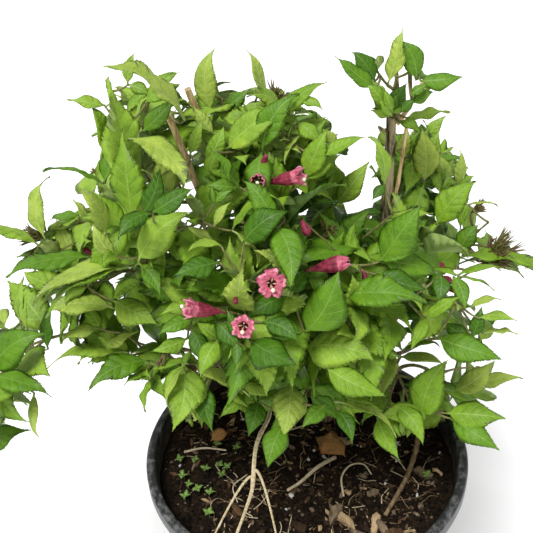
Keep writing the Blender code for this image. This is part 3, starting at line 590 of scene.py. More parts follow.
def even_route(points, step):
    """The same route with points an even step apart."""
    lengths = np.concatenate([[0], np.cumsum(np.linalg.norm(np.diff(points, axis=0), axis=1))])
    count = max(3, int(lengths[-1] / step) + 1)
    at = np.linspace(0, lengths[-1], count)
    return np.stack([np.interp(at, lengths, points[:, i]) for i in range(3)], 1), at


# ---------------------------------------------------------------- materials

class Finish:
    """A material and short ways to add nodes to it."""

    def __init__(self, name, roughness, specular):
        self.material = bpy.data.materials.new(name)
        self.material.use_nodes = True
        self.nodes = self.material.node_tree.nodes
        self.shader = self.nodes["Principled BSDF"]
        self.set("Roughness", roughness)
        self.set("Specular IOR Level", specular)
        self.place = self.add("TexCoord", {}, "Object")

    def put(self, socket, value):
        """Link another node's output to a socket, or set the socket's own number or colour."""
        if isinstance(value, bpy.types.NodeSocket):
            self.material.node_tree.links.new(value, socket)
        elif socket.type == "RGBA":
            socket.default_value = (*value, 1)
        else:
            socket.default_value = value

    def set(self, name, value):
        self.put(self.shader.inputs[name], value)

    def add(self, kind, inputs, output, **settings):
        """A new node with its settings and inputs; returns the output asked for."""
        node = self.nodes.new("ShaderNode" + kind)
        for name, setting in settings.items():
            setattr(node, name, setting)
        for name, value in inputs.items():
            self.put(node.inputs[name], value)
        return node.outputs[output]

    def stretched(self, scale):
        return self.add("Mapping", {"Vector": self.place, "Scale": scale}, "Vector")

    def noise(self, scale, detail=4, roughness=0.55, vector=None):
        return self.add("TexNoise", {"Vector": vector or self.place, "Scale": scale,
                                     "Detail": detail, "Roughness": roughness}, "Fac")

    def cells(self, scale):
        return self.add("TexVoronoi", {"Vector": self.place, "Scale": scale}, "Distance",
                        feature="DISTANCE_TO_EDGE")

    def range(self, value, low, high, start=0.0, end=1.0):
        return self.add("MapRange", {"Value": value, "From Min": low, "From Max": high,
                                     "To Min": start, "To Max": end}, "Result")

    def math(self, operation, *values):
        return self.add("Math", dict(enumerate(values)), "Value", operation=operation)

    def product(self, first, *others):
        for other in others:
            first = self.math("MULTIPLY", first, other)
        return first

    def mix(self, factor, a, b):
        return self.add("Mix", {"Factor": factor, 6: a, 7: b}, 2, data_type="RGBA")

    def ramp(self, value, *stops):
        """stops are (position, linear colour)."""
        colour = self.add("ValToRGB", {"Fac": value}, "Color")
        band = colour.node.color_ramp
        while len(band.elements) < len(stops):
            band.elements.new(1)
        for element, (position, tone) in zip(band.elements, stops):
            element.position = position
            element.color = (*tone, 1)
        return colour

    def colour(self, value):
        self.set("Base Color", value)

    def bump(self, value, strength, distance):
        """Relief on top of any that is there already."""
        inputs = {"Height": value, "Strength": strength, "Distance": distance}
        normal = self.shader.inputs["Normal"]
        if normal.is_linked:
            inputs["Normal"] = normal.links[0].from_socket
        self.put(normal, self.add("Bump", inputs, "Normal"))


def shade(colour, factor):
    """A colour made darker or lighter."""
    return tuple(min(1.0, c * factor) for c in colour)


def blade_finish(name, colour, roughness):
    """Blade: soft random mottling of one green up to a paler tone of painted sunlight, and the netted
    small veins as relief.
    """
    finish = Finish(name, roughness, 0.20)
    # sunlit is a painted highlight: the green made lighter and yellower as if in sunlight, spread by the
    # random mottling.
    sunlit = tuple(c * f for c, f in zip(colour, (1.45, 1.28, 1.25)))
    tone = finish.ramp(finish.noise(75, 4, 0.62), (0.28, shade(colour, 0.70)), (0.50, colour),
                       (0.74, sunlit))
    net = finish.cells(430)
    finish.colour(finish.mix(finish.range(net, 0.0, 0.10, 0.30, 0.0), tone, shade(colour, 1.6)))
    finish.set("Roughness", finish.range(finish.noise(240, 2), 0.3, 0.7, roughness - 0.08,
                                         roughness + 0.12))
    finish.bump(net, 0.60, 0.0005)
    finish.bump(finish.noise(150, 3), 0.60, 0.0016)
    return finish.material


def even_finish(name, colour, grain, detail, roughness, specular):
    """One colour, a little uneven."""
    finish = Finish(name, roughness, specular)
    finish.colour(finish.ramp(finish.noise(grain, detail), (0.3, shade(colour, 0.88)),
                              (0.7, shade(colour, 1.10))))
    return finish


def leaf_finishes(name, blade, vein, under, roughness=0.46):
    """A leaf's three finishes: its blade, its veins, and its duller, felted underside."""
    underside = even_finish("under_" + name, under, 90, 3, 0.72, 0.25)
    underside.bump(underside.cells(520), 0.5, 0.0003)
    return [blade_finish("leaf_" + name, blade, roughness),
            even_finish("vein_" + name, vein, 160, 2, 0.5, 0.4).material, underside.material]


def bark_finish(name, dark, light, streak=34, roughness=0.82):
    """Bark: fibres drawn out along the limb, and paler pores."""
    finish = Finish(name, roughness, 0.25)
    fibres = finish.noise(streak * 18, 5, 0.62, finish.stretched((1.0, 1.0, 0.16)))
    patches = finish.noise(60, 3)
    tone = finish.ramp(fibres, (0.42, dark), (0.56, light))
    finish.colour(finish.mix(finish.range(patches, 0.45, 0.80, 0.0, 0.5), tone, shade(light, 1.15)))
    finish.bump(fibres, 0.8, 0.0009)
    finish.bump(finish.noise(900, 3), 0.25, 0.0003)
    return finish.material


def pot_finish():
    """Black nursery plastic, scuffed grey along the lip, with dried compost inside."""
    finish = Finish("pot_plastic_worn", 0.42, 0.5)
    x, y, z = (finish.add("SeparateXYZ", {"Vector": finish.place}, axis) for axis in "XYZ")
    radius = finish.math("SQRT", finish.math("ADD", finish.product(x, x), finish.product(y, y)))
    along_rim = finish.product(finish.math("ARCTAN2", x, y), 0.10)
    wrapped = finish.add("CombineXYZ", {"X": along_rim, "Y": radius, "Z": z}, "Vector")
    streaks = finish.noise(170, 5, 0.7, wrapped)
    grain = finish.noise(1300, 3, 0.6)
    near_lip = finish.range(z, POT_HEIGHT - 0.016, POT_HEIGHT - 0.001)
    scuffs = finish.product(finish.range(streaks, 0.46, 0.68), near_lip,
                            finish.range(grain, 0.25, 0.6))
    plastic = finish.ramp(finish.noise(26, 3), (0.3, (0.010, 0.011, 0.012)),
                          (0.7, (0.022, 0.023, 0.024)))
    worn = finish.mix(finish.product(scuffs, 0.85), plastic, (0.26, 0.26, 0.265))
    film = finish.product(
        finish.range(z, POT_HEIGHT - 0.004, SOIL_LEVEL - 0.002),
        finish.range(radius, POT_RIM_RADIUS - 0.0080, POT_RIM_RADIUS - 0.0092),
        finish.range(z, SOIL_LEVEL - 0.006, SOIL_LEVEL - 0.003))
    film = finish.product(film, finish.range(finish.noise(120, 4, 0.7), 0.42, 0.60))
    finish.colour(finish.mix(film, worn, (0.115, 0.078, 0.050)))
    finish.set("Roughness", finish.math("ADD", finish.range(streaks, 0.3, 0.7, 0.30, 0.55),
                                        finish.product(film, 0.35)))
    finish.bump(grain, 0.20, 0.0002)
    finish.bump(streaks, 0.25, 0.0005)
    return finish.material


def soil_finish(name, dark, light):
    """Peaty compost: near-black with brown fibres and crumbs."""
    finish = Finish(name, 0.94, 0.15)
    crumbs = finish.noise(420, 6, 0.72)
    tone = finish.ramp(crumbs, (0.36, dark), (0.56, shade(light, 0.55)), (0.74, light))
    patches = finish.range(finish.noise(60, 3), 0.4, 0.7, 0.0, 0.55)
    finish.colour(finish.mix(patches, tone, dark))
    finish.bump(crumbs, 0.9, 0.0016)
    finish.bump(finish.noise(1500, 3), 0.5, 0.0005)
    return finish.material


def wood_finish(name, dark, light):
    """Weathered wood and bark chips."""
    finish = Finish(name, 0.85, 0.2)
    grain = finish.noise(300, 5, 0.65, finish.stretched((1.0, 0.35, 1.0)))
    finish.colour(finish.ramp(grain, (0.32, dark), (0.68, light)))
    finish.bump(grain, 0.7, 0.0007)
    return finish.material


def petal_finish(name, deep, pale):
    """A petal: two pinks in fine mottling."""
    finish = Finish(name, 0.5, 0.3)
    finish.colour(finish.ramp(finish.noise(330, 4, 0.6), (0.34, deep), (0.68, pale)))
    finish.bump(finish.noise(900, 2), 0.25, 0.0003)
    return finish.material


def plain_finish(name, dark, light):
    """A small thing's finish: two tones and a fine grain."""
    finish = Finish(name, 0.7, 0.3)
    tone = finish.noise(400, 3)
    finish.colour(finish.ramp(tone, (0.3, dark), (0.7, light)))
    finish.bump(tone, 0.4, 0.0004)
    return finish.material


# ---------------------------------------------------------------- camera, light and floor

# Soft light from above, a little to the left and in front, under an even white sky.
SKY_STRENGTH = 0.57
KEY_STRENGTH = 2.9
KEY_SPREAD = math.radians(26)
KEY_HEADING = (0.30, 0.34, -0.89)
FLOOR_GLOW = 0.18


def set_the_stage():
    """The photograph's camera, the sky, one soft sun, and the white floor."""
    scene = bpy.context.scene
    scene.view_settings.view_transform = "Standard"
    camera = bpy.data.cameras.new("camera")
    camera.sensor_width = SENSOR
    camera.lens = SENSOR * FOCAL_PIXELS / PHOTO_WIDTH
    holder = bpy.data.objects.new("camera", camera)
    holder.matrix_world = Matrix.Translation(CAMERA_PLACE) @ CAMERA_TURN.to_4x4()
    scene.collection.objects.link(holder)
    scene.camera = holder

    world = bpy.data.worlds.new("sky")
    world.use_nodes = True
    background = world.node_tree.nodes["Background"]
    background.inputs["Color"].default_value = (1.0, 1.0, 1.0, 1)
    background.inputs["Strength"].default_value = SKY_STRENGTH
    scene.world = world

    lamp = bpy.data.lights.new("key", "SUN")
    lamp.angle = KEY_SPREAD
    lamp.energy = KEY_STRENGTH
    item = bpy.data.objects.new("key", lamp)
    item.rotation_euler = Vector(KEY_HEADING).to_track_quat("-Z", "Y").to_euler()
    scene.collection.objects.link(item)

    ground = Sheaf()
    reach = 30.0
    ground.add([(-reach, -reach, 0), (reach, -reach, 0), (reach, reach, 0), (-reach, reach, 0)],
               ([[0, 1, 2, 3]], 0))
    paper = Finish("floor_white", 0.9, 0.1)
    paper.colour(paper.ramp(paper.noise(3, 2), (0.0, (0.92, 0.92, 0.92)), (1.0, (0.95, 0.95, 0.95))))
    paper.set("Emission Color", (1, 1, 1))
    paper.set("Emission Strength", FLOOR_GLOW)
    floor = ground.build("floor", [paper.material])


# ---------------------------------------------------------------- pot

POT_AROUND = 216
LIP_BEND = 0.0022
LIP_EDGE = 0.0010
FOOT_BEND = 0.004
OUT_OF_ROUND = ((2, 0.0022, 0.7), (3, 0.0010, 0.0))
LIP_WAVE = 0.0007
RIBS = 72
RIB_DEPTH = 0.00022
SOIL_GAP = 0.0004


def wall_radius(height, inset):
    """The pot's tapered side at a height, moved inwards by inset."""
    top = POT_RIM_RADIUS - LIP_WIDTH
    return POT_FOOT_RADIUS + (top - POT_FOOT_RADIUS) * height / POT_HEIGHT - inset


def arc(centre, radius, start, end, steps):
    """Points of an arc in a profile, from one angle to another in degrees."""
    angles = np.radians(np.linspace(start, end, steps + 1))
    return [(centre[0] + radius * math.cos(t), centre[1] + radius * math.sin(t)) for t in angles]


def pot_profile():
    """The pot's section as (radius, height): the foot, the outside, the rolled lip, the inside."""
    lip_foot = POT_HEIGHT - LIP_DEPTH
    lip_top = POT_HEIGHT - LIP_BEND
    outer = np.linspace(FOOT_BEND * 1.5, lip_foot - 0.001, 14)
    inner = np.linspace(lip_top - 0.001, 0.010, 22)
    return [
        *[(POT_FOOT_RADIUS * share, 0.0) for share in (0.02, 0.3, 0.6, 0.85)],
        *arc((POT_FOOT_RADIUS - FOOT_BEND, FOOT_BEND), FOOT_BEND, -90, 0, 5),
        *[(wall_radius(height, 0), height) for height in outer],
        (wall_radius(lip_foot, -0.0006), lip_foot - 0.0006),
        (POT_RIM_RADIUS - 2 * LIP_EDGE, lip_foot),
        *arc((POT_RIM_RADIUS - LIP_EDGE, lip_foot + LIP_EDGE), LIP_EDGE, -90, 0, 3),
        *arc((POT_RIM_RADIUS - LIP_BEND, lip_top), LIP_BEND, 0, 90, 6),
        *arc((wall_radius(POT_HEIGHT, POT_WALL) + LIP_BEND, lip_top), LIP_BEND, 90, 180, 6),
        *[(wall_radius(height, POT_WALL), height) for height in inner],
        *[(POT_FOOT_RADIUS * share, POT_WALL) for share in (0.9, 0.5, 0.02)]]


def make_pot():
    """The pot's shell: a little out of round and wavy at the lip, with faint ribs inside."""
    turn = turns(POT_AROUND)
    rings = []
    for radius, height in pot_profile():
        share = min(1.0, height / POT_HEIGHT)
        out_of_round = sum(size * np.cos(waves * turn + phase) for waves, size, phase in OUT_OF_ROUND)
        ring = radius * (1 + out_of_round * share)
        inside = radius < wall_radius(POT_HEIGHT, POT_WALL) + 0.0004
        if inside and 0.010 < height < POT_HEIGHT - 0.006:
            ring = ring + RIB_DEPTH * np.cos(RIBS * turn)
        wave = LIP_WAVE * np.sin(3 * turn + 1.0) * share ** 6 * (height > 0.2)
        rings.append(np.stack([ring * np.cos(turn), ring * np.sin(turn), height + wave], 1))
    sheaf = Sheaf()
    sheaf.add_body(rings, 0)
    piece = sheaf.build("pot_shell", [pot_finish()])
    piece.data.set_sharp_from_angle(angle=math.radians(50))
    settle(piece, "pot_plastic", "pot")


# ---------------------------------------------------------------- compost and what lies on it

SOIL_INSET = POT_WALL + SOIL_GAP
SOIL_RADIUS = wall_radius(SOIL_LEVEL, SOIL_INSET)
SOIL_SINK = 0.0012
MOUND = 0.0035
MOUND_REACH = 0.045
# Lumps of the compost: their height, how many to a metre, and their octaves.
LUMPS = ((0.0030, 45, 4), (0.0010, 210, 2))
SOIL_RINGS = 84
SOIL_AROUND = 260


def soil_height(x, y):
    """The compost's uneven top, mounded a little round the stems."""
    from_middle = math.hypot(x - SHRUB_MIDDLE.x, y - SHRUB_MIDDLE.y)
    mound = MOUND * math.exp(-(from_middle / MOUND_REACH) ** 2)
    coarse, fine = (size * noise.fractal(Vector((x, y, layer)) * scale, 1.0, 2.0, octaves)
                    for (size, scale, octaves), layer in zip(LUMPS, (0.3, 1.7)))
    return SOIL_LEVEL - SOIL_SINK + mound + (coarse + fine)


def on_soil(x, y, lift=0.0):
    """The place on the compost, or so far over it."""
    return Vector((x, y, soil_height(x, y) + lift))


def make_compost():
    """The compost's top in rings from the middle out, and its side down the pot's inside."""
    rings = []
    for radius in SOIL_RADIUS * np.linspace(0.004, 1.0, SOIL_RINGS + 1):
        rings.append([on_soil(radius * math.cos(t), radius * math.sin(t)) for t in turns(SOIL_AROUND)])
    for height in (SOIL_LEVEL * 0.6, SOIL_LEVEL * 0.3, SOIL_INSET):
        radius = wall_radius(height, SOIL_INSET)
        rings.append([on_circle(t) * radius + UP * height for t in turns(SOIL_AROUND)])
    sheaf = Sheaf()
    sheaf.add_body(rings, 0, turned=True)
    peat = soil_finish("compost_peat", (0.0015, 0.001, 0.001), (0.048, 0.028, 0.014))
    settle(sheaf.build("compost", [peat]), "potting_soil", "soil")


def icosahedron():
    """Unit points and triangles."""
    golden = (1 + math.sqrt(5)) / 2
    points = [(-1, golden, 0), (1, golden, 0), (-1, -golden, 0), (1, -golden, 0),
              (0, -1, golden), (0, 1, golden), (0, -1, -golden), (0, 1, -golden),
              (golden, 0, -1), (golden, 0, 1), (-golden, 0, -1), (-golden, 0, 1)]
    faces = [(0, 11, 5), (0, 5, 1), (0, 1, 7), (0, 7, 10), (0, 10, 11), (1, 5, 9), (5, 11, 4),
             (11, 10, 2), (10, 7, 6), (7, 1, 8), (3, 9, 4), (3, 4, 2), (3, 2, 6), (3, 6, 8),
             (3, 8, 9), (4, 9, 5), (2, 4, 11), (6, 2, 10), (8, 6, 7), (9, 8, 1)]
    return np.array(points) / math.hypot(1, golden), np.array(faces)


def ball(subdivisions):
    """A sphere of triangles: an icosahedron whose edges are halved a few times."""
    points, faces = icosahedron()
    for _ in range(subdivisions):
        middles = {}
        points = list(points)
        finer = []
        for a, b, c in faces:
            found = []
            for pair in ((a, b), (b, c), (c, a)):
                key = tuple(sorted(pair))
                if key not in middles:
                    middle = points[pair[0]] + points[pair[1]]
                    middles[key] = len(points)
                    points.append(middle / np.linalg.norm(middle))
                found.append(middles[key])
            finer += [(a, found[0], found[2]), (b, found[1], found[0]),
                      (c, found[2], found[1]), tuple(found)]
        points, faces = np.array(points), np.array(finer)
    return points, faces


def tilt(chance, most):
    """A random turn about the vertical and a small random lean, as a 3x3 array."""
    lean = Matrix.Rotation(chance.uniform(-most, most), 3, "X") @ Matrix.Rotation(
        chance.uniform(-most, most), 3, "Y")
    return np.array(Matrix.Rotation(chance.uniform(0, 2 * math.pi), 3, "Z") @ lean)


def in_pot(chance, margin=0.004):
    """A random place on the compost, even over its area."""
    radius = (SOIL_RADIUS - margin) * math.sqrt(chance.random())
    turn = chance.uniform(0, 2 * math.pi)
    return radius * math.cos(turn), radius * math.sin(turn)


def add_crumb(sheaf, chance, place, size, flat, finish, shape):
    """A rough ball, flattened and tilted."""
    points, faces = shape
    rough = np.array([1 + 0.45 * chance.uniform(-1, 1) for _ in points])
    stretch = np.array((chance.uniform(0.7, 1.3), chance.uniform(0.7, 1.3), flat))
    body = (points * rough[:, None] * stretch * size) @ tilt(chance, 0.6).T
    sheaf.add(body + np.array(place), (faces, finish))


# A chip's layers: height as a share of its thickness, and how far its outline draws in there.
CHIP_LAYERS = ((-0.5, 0.90), (-0.2, 1.0), (0.3, 0.98), (0.5, 0.84), (0.52, 0.45))


def add_chip(sheaf, chance, place, size, finish, lean=0.35):
    """A broken chip of bark: an irregular slab with a worn upper edge."""
    length, width, thickness = size
    corners = chance.randint(5, 7)
    turn = turns(corners) + np.array([chance.uniform(-0.3, 0.3) for _ in range(corners)]) * (
        2 * np.pi / corners)
    reach = np.array([chance.uniform(0.60, 1.15) for _ in range(corners)])
    outline = np.stack([np.cos(turn) * reach * length / 2, np.sin(turn) * reach * width / 2], 1)
    layers = []
    for height, inset in CHIP_LAYERS:
        bumps = np.array([chance.uniform(-0.12, 0.12) for _ in range(corners)])
        layers.append(np.column_stack([outline * inset, (height + bumps) * thickness]))
    sheaf.add_body(np.array(layers) @ tilt(chance, lean).T + np.array(place), finish)


def add_strand(sheaf, points, radius, finish, sides, knots=0.0):
    """A root, straw or twig that lies on the compost along points of x, y and lift."""
    lying = [on_soil(x, y, radius * 0.7 + lift) for x, y, lift in points]
    route, at = even_route(smooth_route(lying, 8), 0.0022)
    radii = radius * (1 - 0.35 * at / at[-1]) * (1 + knots * np.sin(at * 900) * np.sin(at * 310))
    sheaf.add_tube(route, radii, sides, finish)


# Where the compost is strewn with the most pale bits, and how far they reach.
PALE_SPOT = (0.035, -0.055)
PALE_REACH = 0.055


def paleness(x, y):
    """How pale the litter is here, from 0 to 1."""
    return math.exp(-((x - PALE_SPOT[0]) ** 2 + (y - PALE_SPOT[1]) ** 2) / PALE_REACH ** 2)


CRUMBS, CRUMB_SIZES = 3400, (0.0006, 0.0008, 0.0011, 0.0015, 0.0022)
CHIPS, CHIP_LENGTHS = 620, (0.003, 0.004, 0.006, 0.009, 0.013)
STRANDS = 190
GRAINS = 30

# Chips large enough to tell apart: place, length, width, thickness and finish.
CHIP_DARK, CHIP_RED, CHIP_TAN, CHIP_GREY = range(4)
BIG_CHIPS = [
    (0.034, 0.014, 0.022, 0.009, 0.0035, CHIP_TAN), (-0.067, 0.048, 0.016, 0.007, 0.003, CHIP_TAN),
    (0.019, -0.069, 0.026, 0.010, 0.007, CHIP_GREY), (0.026, -0.074, 0.024, 0.009, 0.006, CHIP_TAN),
    (0.050, -0.080, 0.024, 0.009, 0.006, CHIP_TAN), (0.062, -0.092, 0.022, 0.010, 0.006, CHIP_RED),
    (0.055, -0.086, 0.020, 0.008, 0.006, CHIP_GREY), (0.036, -0.090, 0.020, 0.009, 0.005, CHIP_GREY),
    (-0.096, -0.004, 0.010, 0.007, 0.004, CHIP_RED), (0.098, -0.030, 0.020, 0.009, 0.005, CHIP_GREY),
    (-0.010, -0.080, 0.018, 0.010, 0.005, CHIP_DARK), (-0.060, -0.060, 0.016, 0.009, 0.004, CHIP_RED),
]

# Strands that show one by one: points with each one's lift, then radius, finish and knots.
ROOT_PALE, STRAW_BROWN = range(2)
LONG_STRANDS = [
    ([(0.027, -0.008, 0.003), (0.010, -0.020, 0.004), (-0.006, -0.033, 0.002),
      (-0.018, -0.042, 0.001)], 0.0019, ROOT_PALE, 0.10),
    ([(0.029, -0.048, 0.0), (0.029, -0.034, 0.004), (0.038, -0.022, 0.007), (0.050, -0.020, 0.005),
      (0.056, -0.028, 0.001)], 0.0009, ROOT_PALE, 0.0),
    ([(0.106, 0.010, 0.010), (0.098, -0.010, 0.007), (0.084, -0.037, 0.004),
      (0.059, -0.074, 0.002)], 0.0025, STRAW_BROWN, 0.12),
    ([(0.076, -0.010, 0.004), (0.082, -0.018, 0.003), (0.086, -0.029, 0.002)], 0.0007, ROOT_PALE, 0.0),
    ([(-0.110, 0.010, 0.002), (-0.092, 0.012, 0.003), (-0.071, 0.006, 0.004)], 0.0012, ROOT_PALE, 0.06),
    ([(-0.052, -0.020, 0.001), (-0.064, -0.034, 0.002), (-0.060, -0.052, 0.001)], 0.0007, ROOT_PALE, 0.0),
    ([(0.010, 0.040, 0.001), (-0.010, 0.030, 0.003), (-0.030, 0.032, 0.001)], 0.0008, ROOT_PALE, 0.0),
    ([(0.070, 0.030, 0.001), (0.088, 0.026, 0.004), (0.100, 0.036, 0.001)], 0.0009, ROOT_PALE, 0.0),
]

PERLITE = [(0.066, -0.038), (0.049, 0.007), (0.052, 0.005), (-0.020, -0.060), (0.090, -0.052)]


def make_crumbs(chance):
    """Small rough crumbs of three browns, the pale ones mostly round the pale spot."""
    earth = [soil_finish("crumb_dark", (0.003, 0.002, 0.0015), (0.030, 0.018, 0.010)),
             soil_finish("crumb_brown", (0.014, 0.009, 0.005), (0.135, 0.085, 0.046)),
             soil_finish("crumb_pale", (0.130, 0.090, 0.055), (0.480, 0.370, 0.245))]
    sheaf = Sheaf()
    shape = ball(0)
    for _ in range(CRUMBS):
        x, y = in_pot(chance)
        size = chance.choice(CRUMB_SIZES) * chance.uniform(0.8, 1.3)
        pale = paleness(x, y)
        finish = chance.choices(range(3), (6, 1.5 + 4 * pale, 0.4 + 2.4 * pale))[0]
        add_crumb(sheaf, chance, on_soil(x, y, size * 0.25), size, chance.uniform(0.35, 0.80),
                  finish, shape)
    settle(sheaf.build("compost_crumbs", earth), "potting_soil")


def make_chips(chance):
    """Bark chips strewn about, and the large ones that can be told apart."""
    barks = [wood_finish("chip_dark", (0.008, 0.005, 0.003), (0.055, 0.030, 0.015)),
             wood_finish("chip_red", (0.040, 0.020, 0.010), (0.170, 0.090, 0.042)),
             wood_finish("chip_tan", (0.200, 0.125, 0.060), (0.560, 0.400, 0.230)),
             wood_finish("chip_grey", (0.070, 0.048, 0.030), (0.300, 0.215, 0.135))]
    sheaf = Sheaf()
    for _ in range(CHIPS):
        x, y = in_pot(chance, 0.007)
        length = chance.choice(CHIP_LENGTHS) * chance.uniform(0.8, 1.2)
        width = length * chance.uniform(0.22, 0.50)
        thickness = length * chance.uniform(0.12, 0.25)
        pale = paleness(x, y)
        finish = chance.choices(range(4), (7, 2 + 2 * pale, 0.3 + 3 * pale, 0.6 + pale))[0]
        add_chip(sheaf, chance, on_soil(x, y, thickness * 0.35), (length, width, thickness), finish)
    for x, y, *size, finish in BIG_CHIPS:
        add_chip(sheaf, chance, on_soil(x, y, size[-1] * 0.45), size, finish, lean=0.15)
    settle(sheaf.build("bark_chips", barks, smooth=False), "potting_soil")


def make_strands(chance):
    """Short straws strewn about, and the strands that show one by one."""
    # root_pale is the roots' own pale tan made lighter still: painted light, for the light that falls on
    # them from the front.
    straw = [wood_finish("root_pale", (0.480, 0.370, 0.220), (0.800, 0.680, 0.490)),
             wood_finish("straw_brown", (0.120, 0.075, 0.040), (0.380, 0.265, 0.145))]
    sheaf = Sheaf()
    for _ in range(STRANDS):
        x, y = in_pot(chance, 0.018)
        length = chance.uniform(0.008, 0.034)
        turn = chance.uniform(0, 2 * math.pi)
        points = []
        for _ in range(4):
            points.append((x, y, chance.uniform(-0.0006, 0.0014)))
            turn += chance.uniform(-0.7, 0.7)
            x += math.cos(turn) * length / 3
            y += math.sin(turn) * length / 3
        if all(math.hypot(px, py) < SOIL_RADIUS - 0.004 for px, py, _ in points):
            add_strand(sheaf, points, chance.uniform(0.00022, 0.0006),
                       chance.choices((ROOT_PALE, STRAW_BROWN), (1, 1.4))[0], 5)
    for points, radius, finish, knots in LONG_STRANDS:
        add_strand(sheaf, points, radius, finish, 9, knots)
    settle(sheaf.build("roots_and_straws", straw), "potting_soil")


def make_perlite(chance):
    """White grains: those that show, and more at random places."""
    sheaf = Sheaf()
    shape = ball(1)
    for x, y in PERLITE + [in_pot(chance) for _ in range(GRAINS)]:
        size = chance.uniform(0.0008, 0.0020)
        add_crumb(sheaf, chance, on_soil(x, y, size * 0.5), size, 0.85, 0, shape)
    white = plain_finish("perlite_white", (0.55, 0.54, 0.50), (0.85, 0.84, 0.80))
    settle(sheaf.build("perlite", [white]), "potting_soil")


def make_litter():
    """Everything small that lies on the compost, but for the leaves."""
    chance = random.Random("litter")
    make_crumbs(chance)
    make_chips(chance)
    make_strands(chance)
    make_perlite(chance)


# ---------------------------------------------------------------- limbs

LIVE_BARK, OLD_BARK, DEAD_BARK, CUT_WOOD = range(4)
STEM_FINISH = {"stem_woody": OLD_BARK, "stem_cut_left": DEAD_BARK, "stem_cut_middle": DEAD_BARK}

# Old shoots and snags on the stems that the part's solids leave out.
Spur = namedtuple("Spur", "name stem at tip radius finish")
SPURS = [
    Spur("spur_tan", "stem_woody", 0.985, (0.099, 0.047, 0.541), 0.0021, DEAD_BARK),
    Spur("spur_snag", "stem_woody", 0.995, (0.0770, 0.049, 0.549), 0.0020, OLD_BARK),
    Spur("spur_left", "stem_woody", 0.970, (0.0655, 0.047, 0.506), 0.0014, OLD_BARK),
    Spur("spur_side", "stem_woody", 0.790, (0.0865, 0.046, 0.507), 0.0016, DEAD_BARK),
    Spur("spur_node", "stem_cut_left", 0.700, (-0.0885, 0.030, 0.476), 0.0016, LIVE_BARK),
]
SPUR_BOW = 0.06

NODE_SPACING = (0.030, 0.042)
NODE_SWELLING = 0.16
NODE_LENGTH = 0.0028
# Ridges of the bark: their height as a share of the radius, and how dense they are round the
# limb and to a metre of its length.
RIDGES = ((0.11, 2.6, 75), (0.05, 6, 260))


class Limb:
    """A stem, bough or bare twig: its axis, its thickness and the route its bark follows."""

    def __init__(self, name, points, radii, finish, sides):
        self.name = name
        self.points = [Vector(p) for p in points]
        self.radii = radii
        self.finish = finish
        self.sides = sides

    def at(self, fraction):
        """The axis point and heading that far along the limb."""
        place = fraction * (len(self.points) - 1)
        i = min(int(place), len(self.points) - 2)
        heading = (self.points[i + 1] - self.points[i]).normalized()
        return self.points[i].lerp(self.points[i + 1], place - i), heading

    def seat(self, fraction, target):
        """Where a limb that grows towards target leaves this one, and its first heading."""
        point, heading = self.at(fraction)
        if fraction >= 1:
            return point, heading
        outward = square_to(heading, target - point)
        return point + outward * max(self.radii) * 0.5, outward

    def add_bark(self, sheaf, step):
        """The limb's surface: ridges along it, and a swelling at every node."""
        route, at = even_route(smooth_route(self.points, 10), step)
        radii = np.interp(at / at[-1], np.linspace(0, 1, len(self.radii)), self.radii)
        chance = random.Random(self.name)
        spacing = chance.uniform(*NODE_SPACING)
        from_node = (at + chance.uniform(0, spacing)) % spacing
        from_node = np.minimum(from_node, spacing - from_node)
        swelling = 1 + NODE_SWELLING * np.exp(-(from_node / NODE_LENGTH) ** 2)
        offset = chance.uniform(0, 50)

        def ridges(turn, distance):
            return sum(height * noise.noise((math.cos(turn) * dense + offset, math.sin(turn) * dense,
                                             distance * along)) for height, dense, along in RIDGES)

        relief = np.array([[1 + ridges(turn, distance) for turn in turns(self.sides)]
                           for distance in at])
        sheaf.add_tube(route, radii, self.sides, self.finish, relief * swelling[:, None], CUT_WOOD)


def taper(first, last, count, heights=None):
    """Radii from first to last; widened near the foot where the heights over it are given."""
    radii = [first + (last - first) * i / (count - 1) for i in range(count)]
    if heights:
        radii = [r * (1 + FLARE * math.exp(-h / FLARE_HEIGHT)) for r, h in zip(radii, heights)]
    return radii


def make_stem(stem):
    """A stem: its bow from the ring of feet to its tip, with a flare at the compost."""
    foot = SHRUB_MIDDLE.copy()
    if stem.ring_angle is not None:
        foot += on_circle(math.radians(stem.ring_angle)) * FOOT_RING
    tip = Vector(stem.tip)
    control = foot.lerp(tip, stem.lean)
    control.z = foot.z + (tip.z - foot.z) * 0.55
    bow = [Vector(p) for p in bowed(foot, control, tip, 7)]
    flare = [foot + UP * (FLARE_HEIGHT * f) for f in (0, 0.35, 1.0)]
    points = [*flare, *[p for p in bow[1:] if p.z > foot.z + FLARE_HEIGHT * 1.8]]
    radii = taper(stem.foot_radius, stem.tip_radius, len(points), [p.z - foot.z for p in points])
    return Limb(stem.name, points, radii, STEM_FINISH.get(stem.name, LIVE_BARK), 20)


def make_bough(name, parent, at, tip, radius, finish, bow=BOW, end_share=0.68):
    start, heading = parent.seat(at, Vector(tip))
    reach = (Vector(tip) - start).length
    points = bowed(start, start + heading * reach * bow, tip, 6)
    return Limb(name, points, taper(radius, radius * end_share, len(points)), finish, 14)


